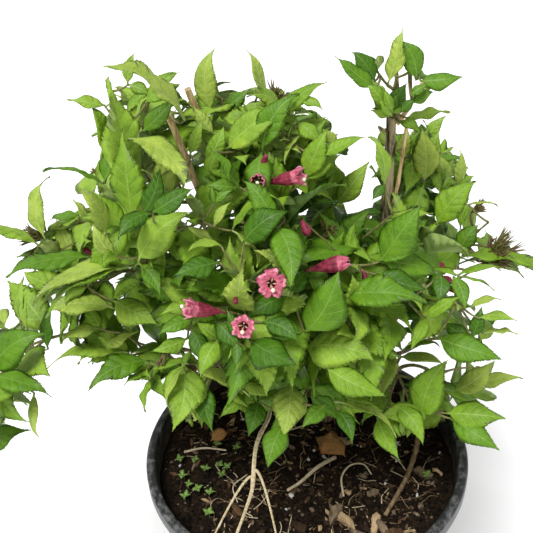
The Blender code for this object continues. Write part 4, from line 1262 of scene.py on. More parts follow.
def make_limbs():
    """Every stem, bough and bare twig by name."""
    limbs = {stem.name: make_stem(stem) for stem in STEMS}
    for bough in BOUGHS:
        limbs[bough.name] = make_bough(bough.name, limbs[bough.stem], bough.at, bough.tip,
                                       bough.radius, LIVE_BARK)
    start, heading = limbs["stem_cut_left"].seat(BARE_AT, Vector(BARE_ROUTE[0]))
    points = smooth_route([start, start + heading * 0.018, *BARE_ROUTE], 4)
    radii = taper(BARE_RADIUS * 0.85, BARE_RADIUS * 0.72, len(points))
    limbs["bare_bough"] = Limb("bare_bough", points, radii, LIVE_BARK, 14)
    for name, at, tip in BARE_TWIGS:
        radius = BARE_RADIUS * (0.66 if at == 1 else 0.50)
        limbs[name] = make_bough(name, limbs["bare_bough"], at, tip, radius, LIVE_BARK, 0.12, 0.5)
    return limbs


def dress_limbs(limbs):
    """One joined piece of bark for each kind of limb."""
    live = bark_finish("bark_live", (0.105, 0.075, 0.040), (0.300, 0.235, 0.130))
    old = bark_finish("bark_old", (0.034, 0.025, 0.012), (0.440, 0.355, 0.205), 14)
    # bark_dead is the pale tan of dead wood made lighter still: painted light, as on the cut stems where
    # the light falls.
    dead = bark_finish("bark_dead", (0.480, 0.290, 0.125), (0.860, 0.630, 0.340), 22)
    cream = bark_finish("bark_cream", (0.400, 0.310, 0.165), (0.640, 0.545, 0.350), 30)
    cut = wood_finish("wood_cut", (0.300, 0.210, 0.120), (0.520, 0.400, 0.250))
    stems = [stem.name for stem in STEMS]
    boughs = [bough.name for bough in BOUGHS]
    bare = ["bare_bough", *[row[0] for row in BARE_TWIGS]]
    for name, names, finishes, slot, step in (
            ("stems_bark", stems, [live, old, dead, cut], "bark", 0.0014),
            ("boughs_bark", boughs, [live, old, dead, cut], "bark", 0.0018),
            ("bare_branch", bare, [cream, cream, cream, cut], "bare_wood", 0.0014)):
        sheaf = Sheaf()
        for limb in names:
            limbs[limb].add_bark(sheaf, step)
        if names is stems:
            for spur in SPURS:
                make_bough(spur.name, limbs[spur.stem], spur.at, spur.tip, spur.radius,
                           spur.finish, SPUR_BOW, 0.72).add_bark(sheaf, step)
        settle(sheaf.build(name, finishes), slot, *names)


# ---------------------------------------------------------------- shoots

class Shoot:
    """One leafy shoot: a bowed axis with pairs of leaves counted back from its tip."""

    def __init__(self, start, heading, apex, foot_radius, roll):
        reach = (apex - start).length
        route = bowed(start, start + heading * reach * BOW, apex, FINE_ROWS)
        self.points = [Vector(p) for p in route]
        self.heading = heading
        self.radii = taper(foot_radius, TWIG_TIP_RADIUS, len(self.points))
        self.roll = roll
        self.along = [0.0]
        for a, b in zip(self.points, self.points[1:]):
            self.along.append(self.along[-1] + (b - a).length)
        self.length = self.along[-1]
        self.used = 0.0
        self.fork = None

    def use(self, distance):
        """Note that something grows so far along the axis, so the wood reaches it."""
        self.used = max(self.used, distance)

    def back_from_tip(self, distance):
        """The axis point and heading that far back from the tip."""
        for a, b in zip(reversed(self.points[:-1]), reversed(self.points[1:])):
            step = (b - a).length
            if distance <= step:
                return b.lerp(a, distance / step), (b - a).normalized()
            distance -= step
        return self.points[0], self.heading

    def radial(self, heading, turn):
        """The direction out of the axis at a turn about it, from level."""
        side = heading.cross(UP)
        side = side.normalized() if side.length > UPRIGHT else Vector((1, 0, 0))
        return Matrix.Rotation(turn, 3, heading) @ side

    def add_wood(self, sheaf):
        """The twig, as far as anything grows from it, with a swelling at each pair."""
        if self.used < SHORTEST_TWIG:
            return
        fine, along = even_route(np.array(self.points), TWIG_STEP)
        kept = along <= self.used + TWIG_SPARE
        kept[:3] = True
        fine, along = fine[kept], along[kept]
        radii = np.interp(along, self.along, self.radii)
        for k in range(OLDEST_PAIR + 1):
            node = self.length - pair_distance(k)
            radii = radii * (1 + PAIR_SWELLING * np.exp(-((along - node) / PAIR_LENGTH) ** 2))
        sheaf.add_tube(fine, radii, 7, 0)


def pair_distance(k):
    """How far from the tip the k-th pair of leaves stands."""
    return FIRST_PAIR + PAIR_STEP * k + PAIR_STEP_GROWTH * k * k


def leaf_pose(chance, shoot, k, side, leaf_length):
    """Root, direction, upper side and length of a leaf in the k-th pair from the tip."""
    point, heading = shoot.back_from_tip(pair_distance(k))
    turn = shoot.roll + math.pi / 2 * k + chance.uniform(-0.25, 0.25)
    radial = shoot.radial(heading, turn) * side
    level = 1 - abs(heading.z)
    radial = (radial - UP * (radial.z * LEVELLED * level)).normalized()
    angle = min(WIDEST_ANGLE, TIP_ANGLE + ANGLE_GROWTH * k) + chance.uniform(-0.15, 0.15)
    along = heading * math.cos(angle) + radial * math.sin(angle)
    along = (along - UP * (LEAF_DROOP * min(k, 4))).normalized()
    outward = Vector((point.x, point.y - SHRUB_MIDDLE.y, 0)).normalized()
    facing = square_to(along, heading * FACES_TIP + UP * FACES_UP + outward * FACES_OUT)
    facing = Matrix.Rotation(chance.uniform(-LEAF_ROLL, LEAF_ROLL), 3, along) @ facing
    length = leaf_length * GROWN[min(k, len(GROWN) - 1)] * chance.uniform(0.86, 1.12)
    return point, along, facing, length


def leaf_proxy(root, along, facing, length):
    """A few faces in a leaf's place, for testing what it would touch."""
    half = along.cross(facing) * (length * 0.23)
    broad = root + along * (length * 0.42) + facing * (length * 0.03)
    tip = root + along * length - facing * (length * 0.10)
    start = root + along * (length * 0.16)
    vertices = [start, broad + half, tip, broad - half]
    return BVHTree.FromPolygons(vertices, [(0, 1, 3), (1, 2, 3)], epsilon=0.0003)


# The side shoots, two of each row: how far along the main shoot they leave it, their reach as a
# share of its length, their roll past the mass's, their foot's thickness as a share of a twig's,
# how far they stand round from the main shoot's level, their leaves' scale and oldest pair.
SideRow = namedtuple("SideRow", "at reach roll thickness round scale oldest")
SIDE_ROWS = (SideRow(FORK_AT, SIDE_REACH, 0.6, 0.8, 0.0, 1.0, OLDEST_PAIR),
             SideRow(0.62, 0.44, 0.2, 0.65, math.pi / 2, 0.80, 3))


def side_shoot(main, row, side, roll):
    """A shoot that leaves a main shoot part of the way along it."""
    point, heading = main.back_from_tip(main.length * (1 - row.at))
    radial = main.radial(heading, main.roll * 0.5 + row.round) * side
    length = main.length * row.reach
    end = point + (heading * math.cos(SIDE_ANGLE) + radial * math.sin(SIDE_ANGLE)) * length
    shoot = Shoot(point, (heading + radial * 1.6).normalized(), end,
                  TWIG_FOOT_RADIUS * row.thickness, roll + row.roll)
    shoot.fork = row.at
    return shoot


def grow(mass, limb, limb_trees):
    """A mass's shoots, as (shoot, leaf scale, oldest pair): the part's three, then finer ones."""
    apex = Vector(mass.apex)
    start, heading = limb.seat(mass.at, apex)
    roll = math.radians(mass.roll)
    main = Shoot(start, heading, apex, TWIG_FOOT_RADIUS * 1.15, roll)
    sides = [(side_shoot(main, row, side, roll), row.scale, row.oldest)
             for row in SIDE_ROWS for side in (1, -1)]
    return [(main, 1.0, OLDEST_PAIR), *[row for row in sides if not touches_limb(row[0], limb_trees)]]


def touches_limb(shoot, limb_trees):
    """Whether a side shoot runs into a stem or bough."""
    for point in shoot.points[2:]:
        if any(tree.find(point)[2] < radius + LIMB_CLEARANCE for tree, radius in limb_trees):
            return True
    return False


class Space:
    """The room of every mass: a place belongs to the mass whose shoots are nearest."""

    def __init__(self, growths):
        self.trees = {}
        for name, shoots in growths.items():
            points = [p for shoot, _, _ in shoots for p in shoot.points]
            self.trees[name] = kd_tree(points)

    def holds(self, name, place):
        own = self.trees[name].find(place)[2]
        others = min(tree.find(place)[2] for other, tree in self.trees.items() if other != name)
        return own <= others + SPACE_MARGIN


def kd_tree(points):
    """A tree that finds the nearest of the points."""
    tree = KDTree(len(points))
    for i, point in enumerate(points):
        tree.insert(point, i)
    tree.balance()
    return tree


# ---------------------------------------------------------------- leaves

BLADE, VEIN, UNDER = range(3)


class LeafPlan:
    """The fixed part of a leaf's mesh: its rows, sheared along the side veins, and its faces.

    across holds each upper column's share of the half width; the two nearest to the middle are
    the midrib's edges. rib_columns are the columns of quads between those.
    """

    def __init__(self, veins, teeth, across, rib_columns):
        rows = [(0.0, 0, 0), (PETIOLE * 0.6, 0, 0), (PETIOLE, 0, 0)]
        pitch = (LAST_VEIN - FIRST_VEIN) / veins
        strips = []
        for i in range(veins):
            foot = FIRST_VEIN + pitch * i
            strips.append(len(rows))
            rows.append((foot, 0, -1))
            for j in range(2 * teeth):
                share = max(0.0001, j / (2 * teeth))
                rows.append((foot + pitch * share, (j + 1) % 2, 2 * math.sin(math.pi * share) - 1))
        rows += TIP_ROWS
        self.u, self.tooth, self.pucker = np.array(rows, float).T
        self.strip_ends = np.array(strips) + 1
        self.across = np.array(across, float)
        columns = len(across)
        count = len(rows)
        upper = grid_faces(count, columns)[:, ::-1]
        column = np.arange(len(upper)) % (columns - 1)
        row = np.arange(len(upper)) // (columns - 1)
        rib = np.isin(column, rib_columns) | np.isin(row, strips)
        stalk = row < 2
        self.blade = upper[~(rib | stalk)]
        self.vein = upper[rib | stalk]
        bottom = count * columns
        low = np.arange(count - 1)
        left, right, keel = low * columns, low * columns + columns - 1, low + bottom
        self.under = np.concatenate([
            np.stack([keel, keel + 1, left + columns, left], 1),
            np.stack([right, right + columns, keel + 1, keel], 1)])
        self.base = [*range(columns), bottom]
        self.tip = [*range((count - 1) * columns, count * columns)][::-1] + [bottom + count - 1]


RIB = 0.0001
FINE_PLAN = LeafPlan(6, 3, (-1, -0.70, -0.36, -RIB, RIB, 0.36, 0.70, 1), [3])
LARGE_PLAN = LeafPlan(6, 2, (-1, -0.52, -RIB, RIB, 0.52, 1), [2])
SMALL_PLAN = LeafPlan(3, 2, (-1, -RIB, RIB, 1), [1])


def half_width(u, length, width, power=1.45):
    """Half the blade's width over its length: round at the base, drawn out at the tip."""
    s = np.clip((u - PETIOLE) / (1 - PETIOLE), 0, 1)
    peak = 0.37
    rise = power * peak / (1 - peak)
    shape = s ** rise * (1 - s) ** power / (peak ** rise * (1 - peak) ** power)
    stalk = 0.0008 / length * np.clip(1.15 - u, 0.15, 1)
    return np.maximum(shape * width / 2, stalk)


def leaf_outline(chance, plan, length, width):
    """Each vertex's place along and across a flat leaf of length 1, with teeth and midrib."""
    power = chance.uniform(1.40, 2.15)
    share, side = np.abs(plan.across), np.sign(plan.across)
    u = plan.u.copy()
    u[plan.strip_ends] += VEIN_WIDTH / length
    half = half_width(u, length, width, power)[:, None]
    ahead = np.minimum(u[:, None] + VEIN_SLANT * share * half, 1.0)
    spread = half_width(ahead, length, width, power)
    toothed = np.clip((ahead - 0.16) / 0.10, 0, 1) * np.clip((1.0 - ahead) / 0.05, 0, 1)
    tooth = TOOTH * min(1.0, max(0.28, (length / TOOTHED_LENGTH) ** 1.5))
    jag = (plan.tooth[:, None] - 0.35) * tooth / length * toothed * (share > EDGE_SHARE)
    rib = MIDRIB_WIDTH / 2 / length * (1 - 0.65 * u)[:, None]
    across = np.where(share < RIB_SHARE, np.minimum(rib, spread), share * spread + jag)
    return u, ahead + jag * 0.8, side * across, spread


def leaf_relief(chance, plan, ahead, across, fullness, wither, freedom):
    """Each vertex's height over the flat leaf: folded at the midrib, cupped, puckered and wavy."""
    share, side = np.abs(plan.across), np.sign(plan.across)
    fold = math.tan(chance.uniform(0.12, 0.25 + 0.35 * freedom))
    cup = chance.uniform(0.9, 2.6)
    wave = chance.uniform(0.010, 0.038) * (1 + 3 * wither)
    waves = chance.uniform(1.6, 2.6)
    phases = np.where(side > 0, chance.uniform(0, 6.28), chance.uniform(0, 6.28))
    inner = np.where(share > EDGE_SHARE, 0.15, np.where(share < RIB_SHARE, 0, 1))
    pucker = chance.uniform(0.004, 0.009) * plan.pucker[:, None] * inner * fullness
    ripple = wave * share ** 2 * np.sin(waves * 2 * math.pi * ahead + phases)
    reach = np.abs(across)
    return (fold * reach - cup * reach ** 2 + pucker
            + ripple * np.clip((ahead - PETIOLE) * 5, 0, 1))


def leaf_bend(chance, x, y, z, droop, wither, freedom):
    """Curl, hook, twist and bend a leaf of length 1, with its tip a little below its base's line."""
    rise = chance.uniform(0.05, 0.30)
    curl = chance.uniform(0.45, 0.95) + wither
    hook = chance.uniform(0.0, 0.9)
    steps = np.linspace(0, 1, BEND_STEPS + 1)
    pitch = rise - curl * steps - hook * steps ** 4
    run, drop = (np.concatenate([[0], np.cumsum((way[1:] + way[:-1]) / 2)]) / BEND_STEPS
                 for way in (np.cos(pitch), np.sin(pitch)))
    chord = math.hypot(run[-1], drop[-1])
    lean = math.atan2(drop[-1], run[-1]) + droop
    pitch = np.interp(x, steps, pitch)
    px = np.interp(x, steps, run) - z * np.sin(pitch)
    pz = np.interp(x, steps, drop) + z * np.cos(pitch)
    px, pz = px * math.cos(lean) + pz * math.sin(lean), pz * math.cos(lean) - px * math.sin(lean)
    twist = chance.uniform(-0.55, 0.55) * freedom * x
    bend = chance.uniform(-0.45, 0.45) * x * (1 - x)
    return np.stack([px, y * np.cos(twist) + bend, pz + y * np.sin(twist)], 1) / chord


def add_leaf(sheaf, chance, pose, tint, width=None, plan=None, droop=0.10, wither=0.0, freedom=1):
    """A serrate leaf with a sunken midrib, puckered side veins, a keel and its own curl.

    droop turns the tip down from the line that the pose gives; freedom scales its own twist.
    """
    root, along, facing, length = pose
    if plan is None:
        plan = SMALL_PLAN if length < SMALL_LEAF else LARGE_PLAN
    width = width or chance.uniform(*LEAF_WIDTH)
    u, ahead, across, spread = leaf_outline(chance, plan, length, width)
    height = leaf_relief(chance, plan, ahead, across, spread / (width / 2), wither, freedom)
    keel = -(0.0011 - 0.0008 * u) / length - 0.004
    local = leaf_bend(chance, np.concatenate([ahead.ravel(), u]),
                      np.concatenate([across.ravel(), np.zeros(len(u))]),
                      np.concatenate([height.ravel(), keel]), droop, wither, freedom)
    turn = np.array([along, -along.cross(facing), facing])
    first = tint * 3
    sheaf.add(local * length @ turn + np.array(root), (plan.blade, first + BLADE),
              (plan.vein, first + VEIN), (plan.under, first + UNDER), (plan.base, first + VEIN),
              (plan.tip, first + UNDER))


# Blade, vein and underside, in the order of the tints YOUNG to SHADED. The bright colours are the mid
# colours with painted light; the deep and shaded colours are darker copies of them with painted shade.
LEAF_COLOURS = {
    "young": ((0.290, 0.405, 0.058), (0.372, 0.478, 0.112), (0.340, 0.440, 0.130)),
    "bright": ((0.215, 0.358, 0.033), (0.290, 0.428, 0.068), (0.265, 0.370, 0.100)),
    "mid": ((0.158, 0.295, 0.018), (0.230, 0.362, 0.045), (0.205, 0.315, 0.080)),
    "deep": ((0.094, 0.216, 0.010), (0.150, 0.278, 0.030), (0.150, 0.255, 0.060)),
    "shaded": ((0.048, 0.134, 0.005), (0.088, 0.188, 0.018), (0.105, 0.195, 0.045)),
}
# The middle of the crown, and how far it reaches from there to the side, the back and the top.
CROWN_MIDDLE = Vector((0.0, 0.075, 0.385))
CROWN_REACH = (0.235, 0.175, 0.180)

REGIONS = {
    "left": ("left_low", "left_middle", "left_brow", "far_left", "left_face", "upper_left",
             "left_back"),
    "middle": ("heart", "front", "front_left", "right_heart", "brow", "middle_left",
               "middle_right", "top", "top_middle", "top_left", "top_right"),
    "right": ("tuft", "high_right", "right_face", "right_brow", "right_middle", "right_low",
              "right_skirt", "front_right", "right_back"),
    "back": ("back", "back_left", "back_right", "back_low", "back_skirt"),
}


# A spray's light grows outwards from DARK_SHARE of the crown's reach, and upwards from a height.
DARK_SHARE = 0.80
LIGHT_MIDDLE = 0.38
OUTWARD_LIGHT = 2.2
UPWARD_LIGHT = 1.25
# How much light each green takes at least; what gets less is shaded.
LEAST_LIGHT = ((0.30, LIT_GREEN), (-0.10, MID), (-0.75, HALF_SHADE_GREEN))


def spray_tint(chance, shoot):
    """A spray's green, with painted light and shade: lighter where it reaches the light, darker low down
    and inside, where the shade falls.
    """
    out = shoot.points[-1] - CROWN_MIDDLE
    out = math.sqrt(sum((a / b) ** 2 for a, b in zip(out, CROWN_REACH)))
    light = (out - DARK_SHARE) * OUTWARD_LIGHT
    light += out * (shoot.points[-1].z - LIGHT_MIDDLE) * UPWARD_LIGHT
    light += chance.uniform(-0.35, 0.35)
    return next((tint for least, tint in LEAST_LIGHT if light > least), SHADED)


def leaf_tint(chance, tint, k):
    """Young leaves are yellower than their spray; the oldest are a step deeper, darker with age and with
    painted shade.
    """
    if k <= 1 and chance.random() < 0.75:
        return max(YOUNG, tint - 1)
    if k >= 3 and chance.random() < 0.6:
        return min(SHADED, tint + 1)
    return tint


class Reach:
    """How far the looks may go: the part's box and a little of what is allowed past it."""

    def __init__(self):
        low, high = cad_box
        slack = [SPARE_REACH + SPARE_SHARE * (high[i] - low[i]) for i in range(3)]
        self.low = [low[i] - slack[i] for i in range(3)]
        self.high = [high[i] + slack[i] for i in range(3)]

    def holds(self, place):
        return all(self.low[i] <= place[i] <= self.high[i] for i in range(3))


def pixels(places):
    """The photograph's pixel of each place, and how deep it lies in front of the camera."""
    local = (np.asarray(places, float) - np.array(CAMERA_PLACE)) @ np.array(CAMERA_TURN)
    depth = -local[..., 2]
    return (MIDDLE_PIXEL + FOCAL_PIXELS * local[..., 0] / depth,
            MIDDLE_PIXEL - FOCAL_PIXELS * local[..., 1] / depth, depth)


def place_at(pixel, depth):
    """The place that a pixel of the photograph shows, so deep in front of the camera."""
    across, down = ((value - MIDDLE_PIXEL) / FOCAL_PIXELS for value in pixel)
    return CAMERA_PLACE + CAMERA_TURN @ (Vector((across, -down, -1)) * depth)


def blade_places(pose, rows, columns):
    """Places spread over a leaf's blade."""
    root, along, facing, length = pose
    u = np.linspace(0.15, 1, rows)
    across = np.linspace(-1, 1, columns)[None, :] * half_width(u, length, 0.5)[:, None] * length
    square = np.array(along.cross(facing))
    return (np.array(root) + np.array(along) * (u * length)[:, None, None]
            + square * across[:, :, None]).reshape(-1, 3)


class Sight:
    """What the photograph shows in front, which no leaf of the rule hides from its camera."""

    def __init__(self):
        self.row, self.column = np.mgrid[0:PHOTO_WIDTH, 0:PHOTO_WIDTH]
        self.front = np.full(self.row.shape, np.inf)
        self.shut = np.zeros(self.row.shape, bool)

    def covered(self, pose, samples):
        """The picture's rows and columns that a leaf's blade covers, and its depth at each."""
        u, v, depth = pixels(blade_places(pose, *samples))
        inside = (u >= 0) & (u < PHOTO_WIDTH) & (v >= 0) & (v < PHOTO_WIDTH)
        return v[inside].astype(int), u[inside].astype(int), depth[inside]

    def spot(self, u, v, radius):
        """The pixels within a radius of one of them."""
        return np.hypot(self.row - v, self.column - u) < radius

    def keep_leaf(self, pose):
        rows, columns, depth = self.covered(pose, (70, 31))
        np.minimum.at(self.front, (rows, columns), depth)

    def keep_spot(self, place, radius):
        u, v, depth = pixels(place)
        spot = self.spot(u, v, radius)
        self.front[spot] = np.minimum(self.front[spot], depth)

    def shut_outside(self, outline):
        """Keep leaves inside an outline, by the even-odd rule."""
        inside = np.zeros(self.row.shape, bool)
        for (u0, v0), (u1, v1) in zip(outline, outline[1:] + outline[:1]):
            if v0 == v1:
                continue
            spans = (self.row < max(v0, v1)) & (self.row >= min(v0, v1))
            inside ^= spans & (self.column < u0 + (self.row - v0) * (u1 - u0) / (v1 - v0))
        self.shut |= ~inside

    def overlap(self, pose):
        """How far a leaf has to come forward to lie over all the leaves kept so far."""
        rows, columns, depth = self.covered(pose, (12, 7))
        behind = depth - self.front[rows, columns]
        behind = behind[np.isfinite(behind)]
        return max(0.0, float(behind.max())) if len(behind) else 0.0

    def hides(self, pose):
        """Whether a leaf would stand in front of something kept in sight."""
        samples = (8, 5)
        rows, columns, depth = self.covered(pose, samples)
        front, shut = self.front[rows, columns], self.shut[rows, columns]
        hidden = shut | (depth < front - FRONT_MARGIN) & np.isfinite(front)
        return hidden.sum() > HIDDEN_SHARE * math.prod(samples)


def seen_pose(row, anchors, sight):
    """The pose of a leaf that the photograph shows, and the shoot point that carries it.

    Its base lies at the depth of the nearest shoot point in front, its tip nearer to the camera
    or farther off by lean, and it comes forward a little where it lies over earlier leaves.
    """
    tip_pixel, base_pixel, (lean, _, broad) = row[:2], row[2:4], row[4:]
    width = min(max(broad, NARROWEST), max(BROADEST, broad))
    turn = math.acos(broad / width)
    away = np.hypot(anchors.u - base_pixel[0], anchors.v - base_pixel[1])
    cost = away * ANCHOR_PIXEL + np.where(away < ANCHOR_REACH, anchors.depth, 10)
    nearest = int(np.argmin(cost))
    depth = anchors.depth[nearest] - BEFORE_TWIG
    for _ in range(2):
        root = place_at(base_pixel, depth)
        level = place_at(tip_pixel, depth)
        end = place_at(tip_pixel, depth - (level - root).length * math.tan(math.radians(lean)))
        along = (end - root).normalized()
        to_camera = (CAMERA_PLACE - root).normalized()
        facing = square_to(along, to_camera * 0.8 + UP * 0.5)
        tilted = [Matrix.Rotation(way * turn, 3, along) @ facing for way in (1, -1)]
        facing = max(tilted, key=lambda upper: upper.z)
        pose = (root, along, facing, (end - root).length)
        forward = sight.overlap(pose)
        if forward > MOST_FORWARD:
            break
        depth -= forward + BEFORE_LEAF
    owner, step = anchors.owners[nearest]
    if isinstance(owner, Shoot):
        owner.use(owner.along[step])
    return pose, width, Vector(owner.points[step])


Anchors = namedtuple("Anchors", "owners u v depth")


def add_seen_leaves(sheaf, wood, growths, limbs, sight, reach):
    """The leaves that show one by one in front, each on a twig from the nearest shoot or limb."""
    owners = [(shoot, step) for shoots in growths.values() for shoot, _, _ in shoots
              for step in range(2, len(shoot.points))]
    owners += [(limbs[name], step) for name in SPROUTING
               for step in range(len(limbs[name].points) // 2, len(limbs[name].points))]
    anchors = Anchors(owners, *pixels([owner.points[step] for owner, step in owners]))
    proxies = []
    placed = []
    for number, row in enumerate(SEEN_LEAVES):
        chance = random.Random(f"seen leaf {number}")
        pose, width, anchor = seen_pose(row, anchors, sight)
        root, along, _, length = pose
        if not reach.holds(root + along * length):
            continue
        sight.keep_leaf(pose)
        add_leaf(sheaf, chance, pose, row[5], width=width, plan=FINE_PLAN, droop=0, freedom=0.4)
        proxies.append(leaf_proxy(*pose))
        placed.append((pose, anchor, row[5]))
        bend = anchor.lerp(root, 0.6) - UP * STALK_SAG * (root - anchor).length
        wood.add_tube(bowed(anchor, bend, root + along * length * 0.02, 6), STALK_RADII, 7, 0)
    return proxies, placed


def add_partners(sheaf, placed, sight, reach, blades):
    """The leaf opposite each one that shows, where it hides nothing and touches nothing."""
    for number, (pose, anchor, tint) in enumerate(placed):
        chance = random.Random(f"partner {number}")
        root, along, facing, length = pose
        twig = (root - anchor).normalized()
        for _ in range(LEAF_TRIES):
            heading = (twig + UP * chance.uniform(0, 0.6)).normalized()
            other = heading * (2 * along.dot(heading)) - along
            other = Matrix.Rotation(chance.uniform(-0.6, 0.6), 3, heading) @ other
            upper = square_to(other, facing + UP * 0.4)
            partner = (root, other, upper, length * chance.uniform(0.70, 1.0))
            if upper.dot(CAMERA_PLACE - root) < 0:
                continue
            if not reach.holds(root + other * partner[3]) or sight.hides(partner):
                continue
            proxy = leaf_proxy(*partner)
            if not any(proxy.overlap(blade) for blade in blades):
                # A partner has its leaf's green, the painted shade of the deeper greens included, but
                # nothing lighter than the mid green.
                add_leaf(sheaf, chance, partner, min(SHADED, max(MID, tint)), plan=LARGE_PLAN)
                blades.append(proxy)
                break


def add_leaves(sheaf, mass, shoots, space, reach, sight, blades):
    """A mass's leaves; each is tried a few times, a little shorter, before it is skipped."""
    for number, (shoot, scale, oldest) in enumerate(shoots):
        chance = random.Random(f"{mass.name} {number} tint")
        tint = spray_tint(chance, shoot)
        for k in range(oldest + 1):
            if pair_distance(k) > shoot.length - 0.005:
                continue
            for side in (1, -1):
                chance = random.Random(f"{mass.name} {number} {k} {side}")
                for attempt in range(LEAF_TRIES):
                    size = mass.leaf * LEAF_SCALE * scale * (1 - TRY_SHORTER * attempt)
                    pose = leaf_pose(chance, shoot, k, side, size)
                    root, along, _, length = pose
                    if (not space.holds(mass.name, root + along * length * 0.8)
                            or not reach.holds(root + along * length * 1.02)
                            or sight.hides(pose)):
                        continue
                    proxy = leaf_proxy(*pose)
                    if not any(proxy.overlap(other) for other in blades):
                        add_leaf(sheaf, chance, pose, leaf_tint(chance, tint, k))
                        blades.append(proxy)
                        shoot.use(shoot.length - pair_distance(k))
                        break


def guard_sight(sight, limbs):
    """Keep in sight the limbs and flowers that show, and the gaps through the crown."""
    for name, first in SEEN_LIMBS:
        limb = limbs[name]
        for share in np.linspace(first, 1, 21):
            place, _ = limb.at(share)
            sight.keep_spot(place, BARE_SPOT if name.startswith("bare") else LIMB_SPOT)
    for flower in FLOWERS:
        base, heading = aimed(flower.base, flower.heading)
        for share in (0.1, 0.5, 1.0):
            sight.keep_spot(base + heading * flower.shown * share, BASE_SPOT + MOUTH_SPOT * share)
    for cluster in CLUSTERS:
        base, heading = aimed(cluster.base, cluster.heading)
        sight.keep_spot(base + heading * cluster.length, cluster.length * CLUSTER_SPOT)
    for gap in SKY_GAPS:
        sight.shut |= sight.spot(*gap)
    sight.shut_outside(CROWN_OUTLINE)


def foliage(masses):
    """The solids' names of masses of foliage."""
    return ["foliage_" + name for name in masses]


def dress_masses(limbs):
    """The shoots and leaves that replace the masses of foliage."""
    limb_trees = [(kd_tree(limb.points), max(limb.radii)) for limb in limbs.values()]
    growths = {mass.name: grow(mass, limbs[mass.limb], limb_trees) for mass in MASSES}
    space = Space(growths)
    reach = Reach()
    finishes = sum((leaf_finishes(name, *colours) for name, colours in LEAF_COLOURS.items()), [])
    masses = {mass.name: mass for mass in MASSES}
    wood = Sheaf()
    sight = Sight()
    front = Sheaf()
    seen, placed = add_seen_leaves(front, wood, growths, limbs, sight, reach)
    guard_sight(sight, limbs)
    add_partners(front, placed, sight, reach, seen)
    settle(front.build("leaves_front", finishes), "foliage", *foliage(REGIONS["middle"]))
    for region, names in REGIONS.items():
        sheaf = Sheaf()
        for name in names:
            add_leaves(sheaf, masses[name], growths[name], space, reach, sight, list(seen))
        settle(sheaf.build("leaves_" + region, finishes), "foliage", *foliage(names))
    return growths, wood


def make_twigs(growths, wood):
    """The wood of every shoot that carries something."""
    for shoots in growths.values():
        main = shoots[0][0]
        for shoot, _, _ in shoots[1:]:
            if shoot.used:
                main.use(main.length * shoot.fork)
        for shoot, _, _ in shoots:
            shoot.add_wood(wood)
    bark = bark_finish("twig_bark", (0.130, 0.125, 0.042), (0.260, 0.250, 0.090), 40, 0.7)
    settle(wood.build("twigs", [bark]), "foliage", *foliage(mass.name for mass in MASSES))


# ---------------------------------------------------------------- flowers

TUBE_PINK, LOBE_PINK, LOBE_EDGE, THROAT, STYLE, STIGMA, CALYX, DRY = range(8)
FLOWER_FOOT = 0.0013
FLOWER_THROAT = 0.0052
# Rows of the tube, of the lobes, and of the lobes' edge on the inside; how thick the petals are
# across the flower and along it.
TRUMPET_AROUND = 60
TUBE_ROWS = 14
LOBE_ROWS = 8
EDGE_ROWS = 3
PETAL_WALL = 0.00045
PETAL_DEPTH = 0.0002
CALYX_LENGTH = 0.0080
CALYX_SPREAD = 0.30
CLUSTER_SPREAD = 0.42


def smooth_step(t):
    t = np.clip(t, 0, 1)
    return t * t * (3 - 2 * t)


def add_trumpet(sheaf, chance, base, heading, length, opening, opened):
    """A trumpet flower: a fat ribbed tube and five ruffled lobes, inside and out.

    opened is 0 for lobes that close over the mouth and 1 for lobes spread flat.
    """
    side = np.array(heading.orthogonal().normalized())
    base, heading = np.array(base), np.array(heading)
    turn = turns(TRUMPET_AROUND)
    lobed = 0.62 + 0.38 * np.abs(np.cos(2.5 * turn)) ** 0.4
    throat_at = length * (0.74 if opened > 0.2 else 0.78)
    throat = FLOWER_THROAT * (1 - 0.38 * opened)
    flare = math.radians(-22 + 96 * opened)
    rows = []
    for t in np.linspace(0, 1, TUBE_ROWS):
        radius = FLOWER_FOOT + (throat - FLOWER_FOOT) * smooth_step((t - 0.10) / 0.78)
        ribs = 1 + 0.09 * t * np.cos(5 * turn) + 0.05 * t * np.cos(11 * turn + 1)
        rows.append((np.full(len(turn), throat_at * t), radius * ribs))
    lobe = max(length * 0.24, (opening - throat) / max(0.5, math.sin(max(0.1, flare))))
    phases = [chance.uniform(0, 6.28) for _ in range(3)]
    for t in np.linspace(0, 1, LOBE_ROWS + 1)[1:]:
        bend = flare * (0.45 + 0.70 * t)
        grown = lobe * t * (1 - (1 - lobed) * t)
        ruffle = t * t * (0.0011 * np.sin(5 * turn + phases[0])
                          + 0.0008 * np.sin(13 * turn + phases[1]))
        rows.append((throat_at + grown * np.cos(bend) + ruffle * (0.4 + opened),
                     throat + grown * np.sin(bend) + 0.0006 * t * np.sin(8 * turn + phases[2])))
    spokes = side * np.cos(turn)[:, None] + np.cross(heading, side) * np.sin(turn)[:, None]
    outer = [base + heading * along[:, None] + spokes * radius[:, None] for along, radius in rows]
    inner = [base + heading * (along + PETAL_DEPTH)[:, None]
             + spokes * np.maximum(0.0003, radius - PETAL_WALL)[:, None] for along, radius in rows]
    bands = [(TUBE_PINK, TUBE_ROWS - 1), (LOBE_PINK, LOBE_ROWS), (LOBE_EDGE, EDGE_ROWS),
             (LOBE_PINK, LOBE_ROWS - EDGE_ROWS), (THROAT, TUBE_ROWS)]
    kinds = np.concatenate([[kind] * count for kind, count in bands])
    sheaf.add_body(outer + inner[::-1], kinds, (TUBE_PINK, THROAT))


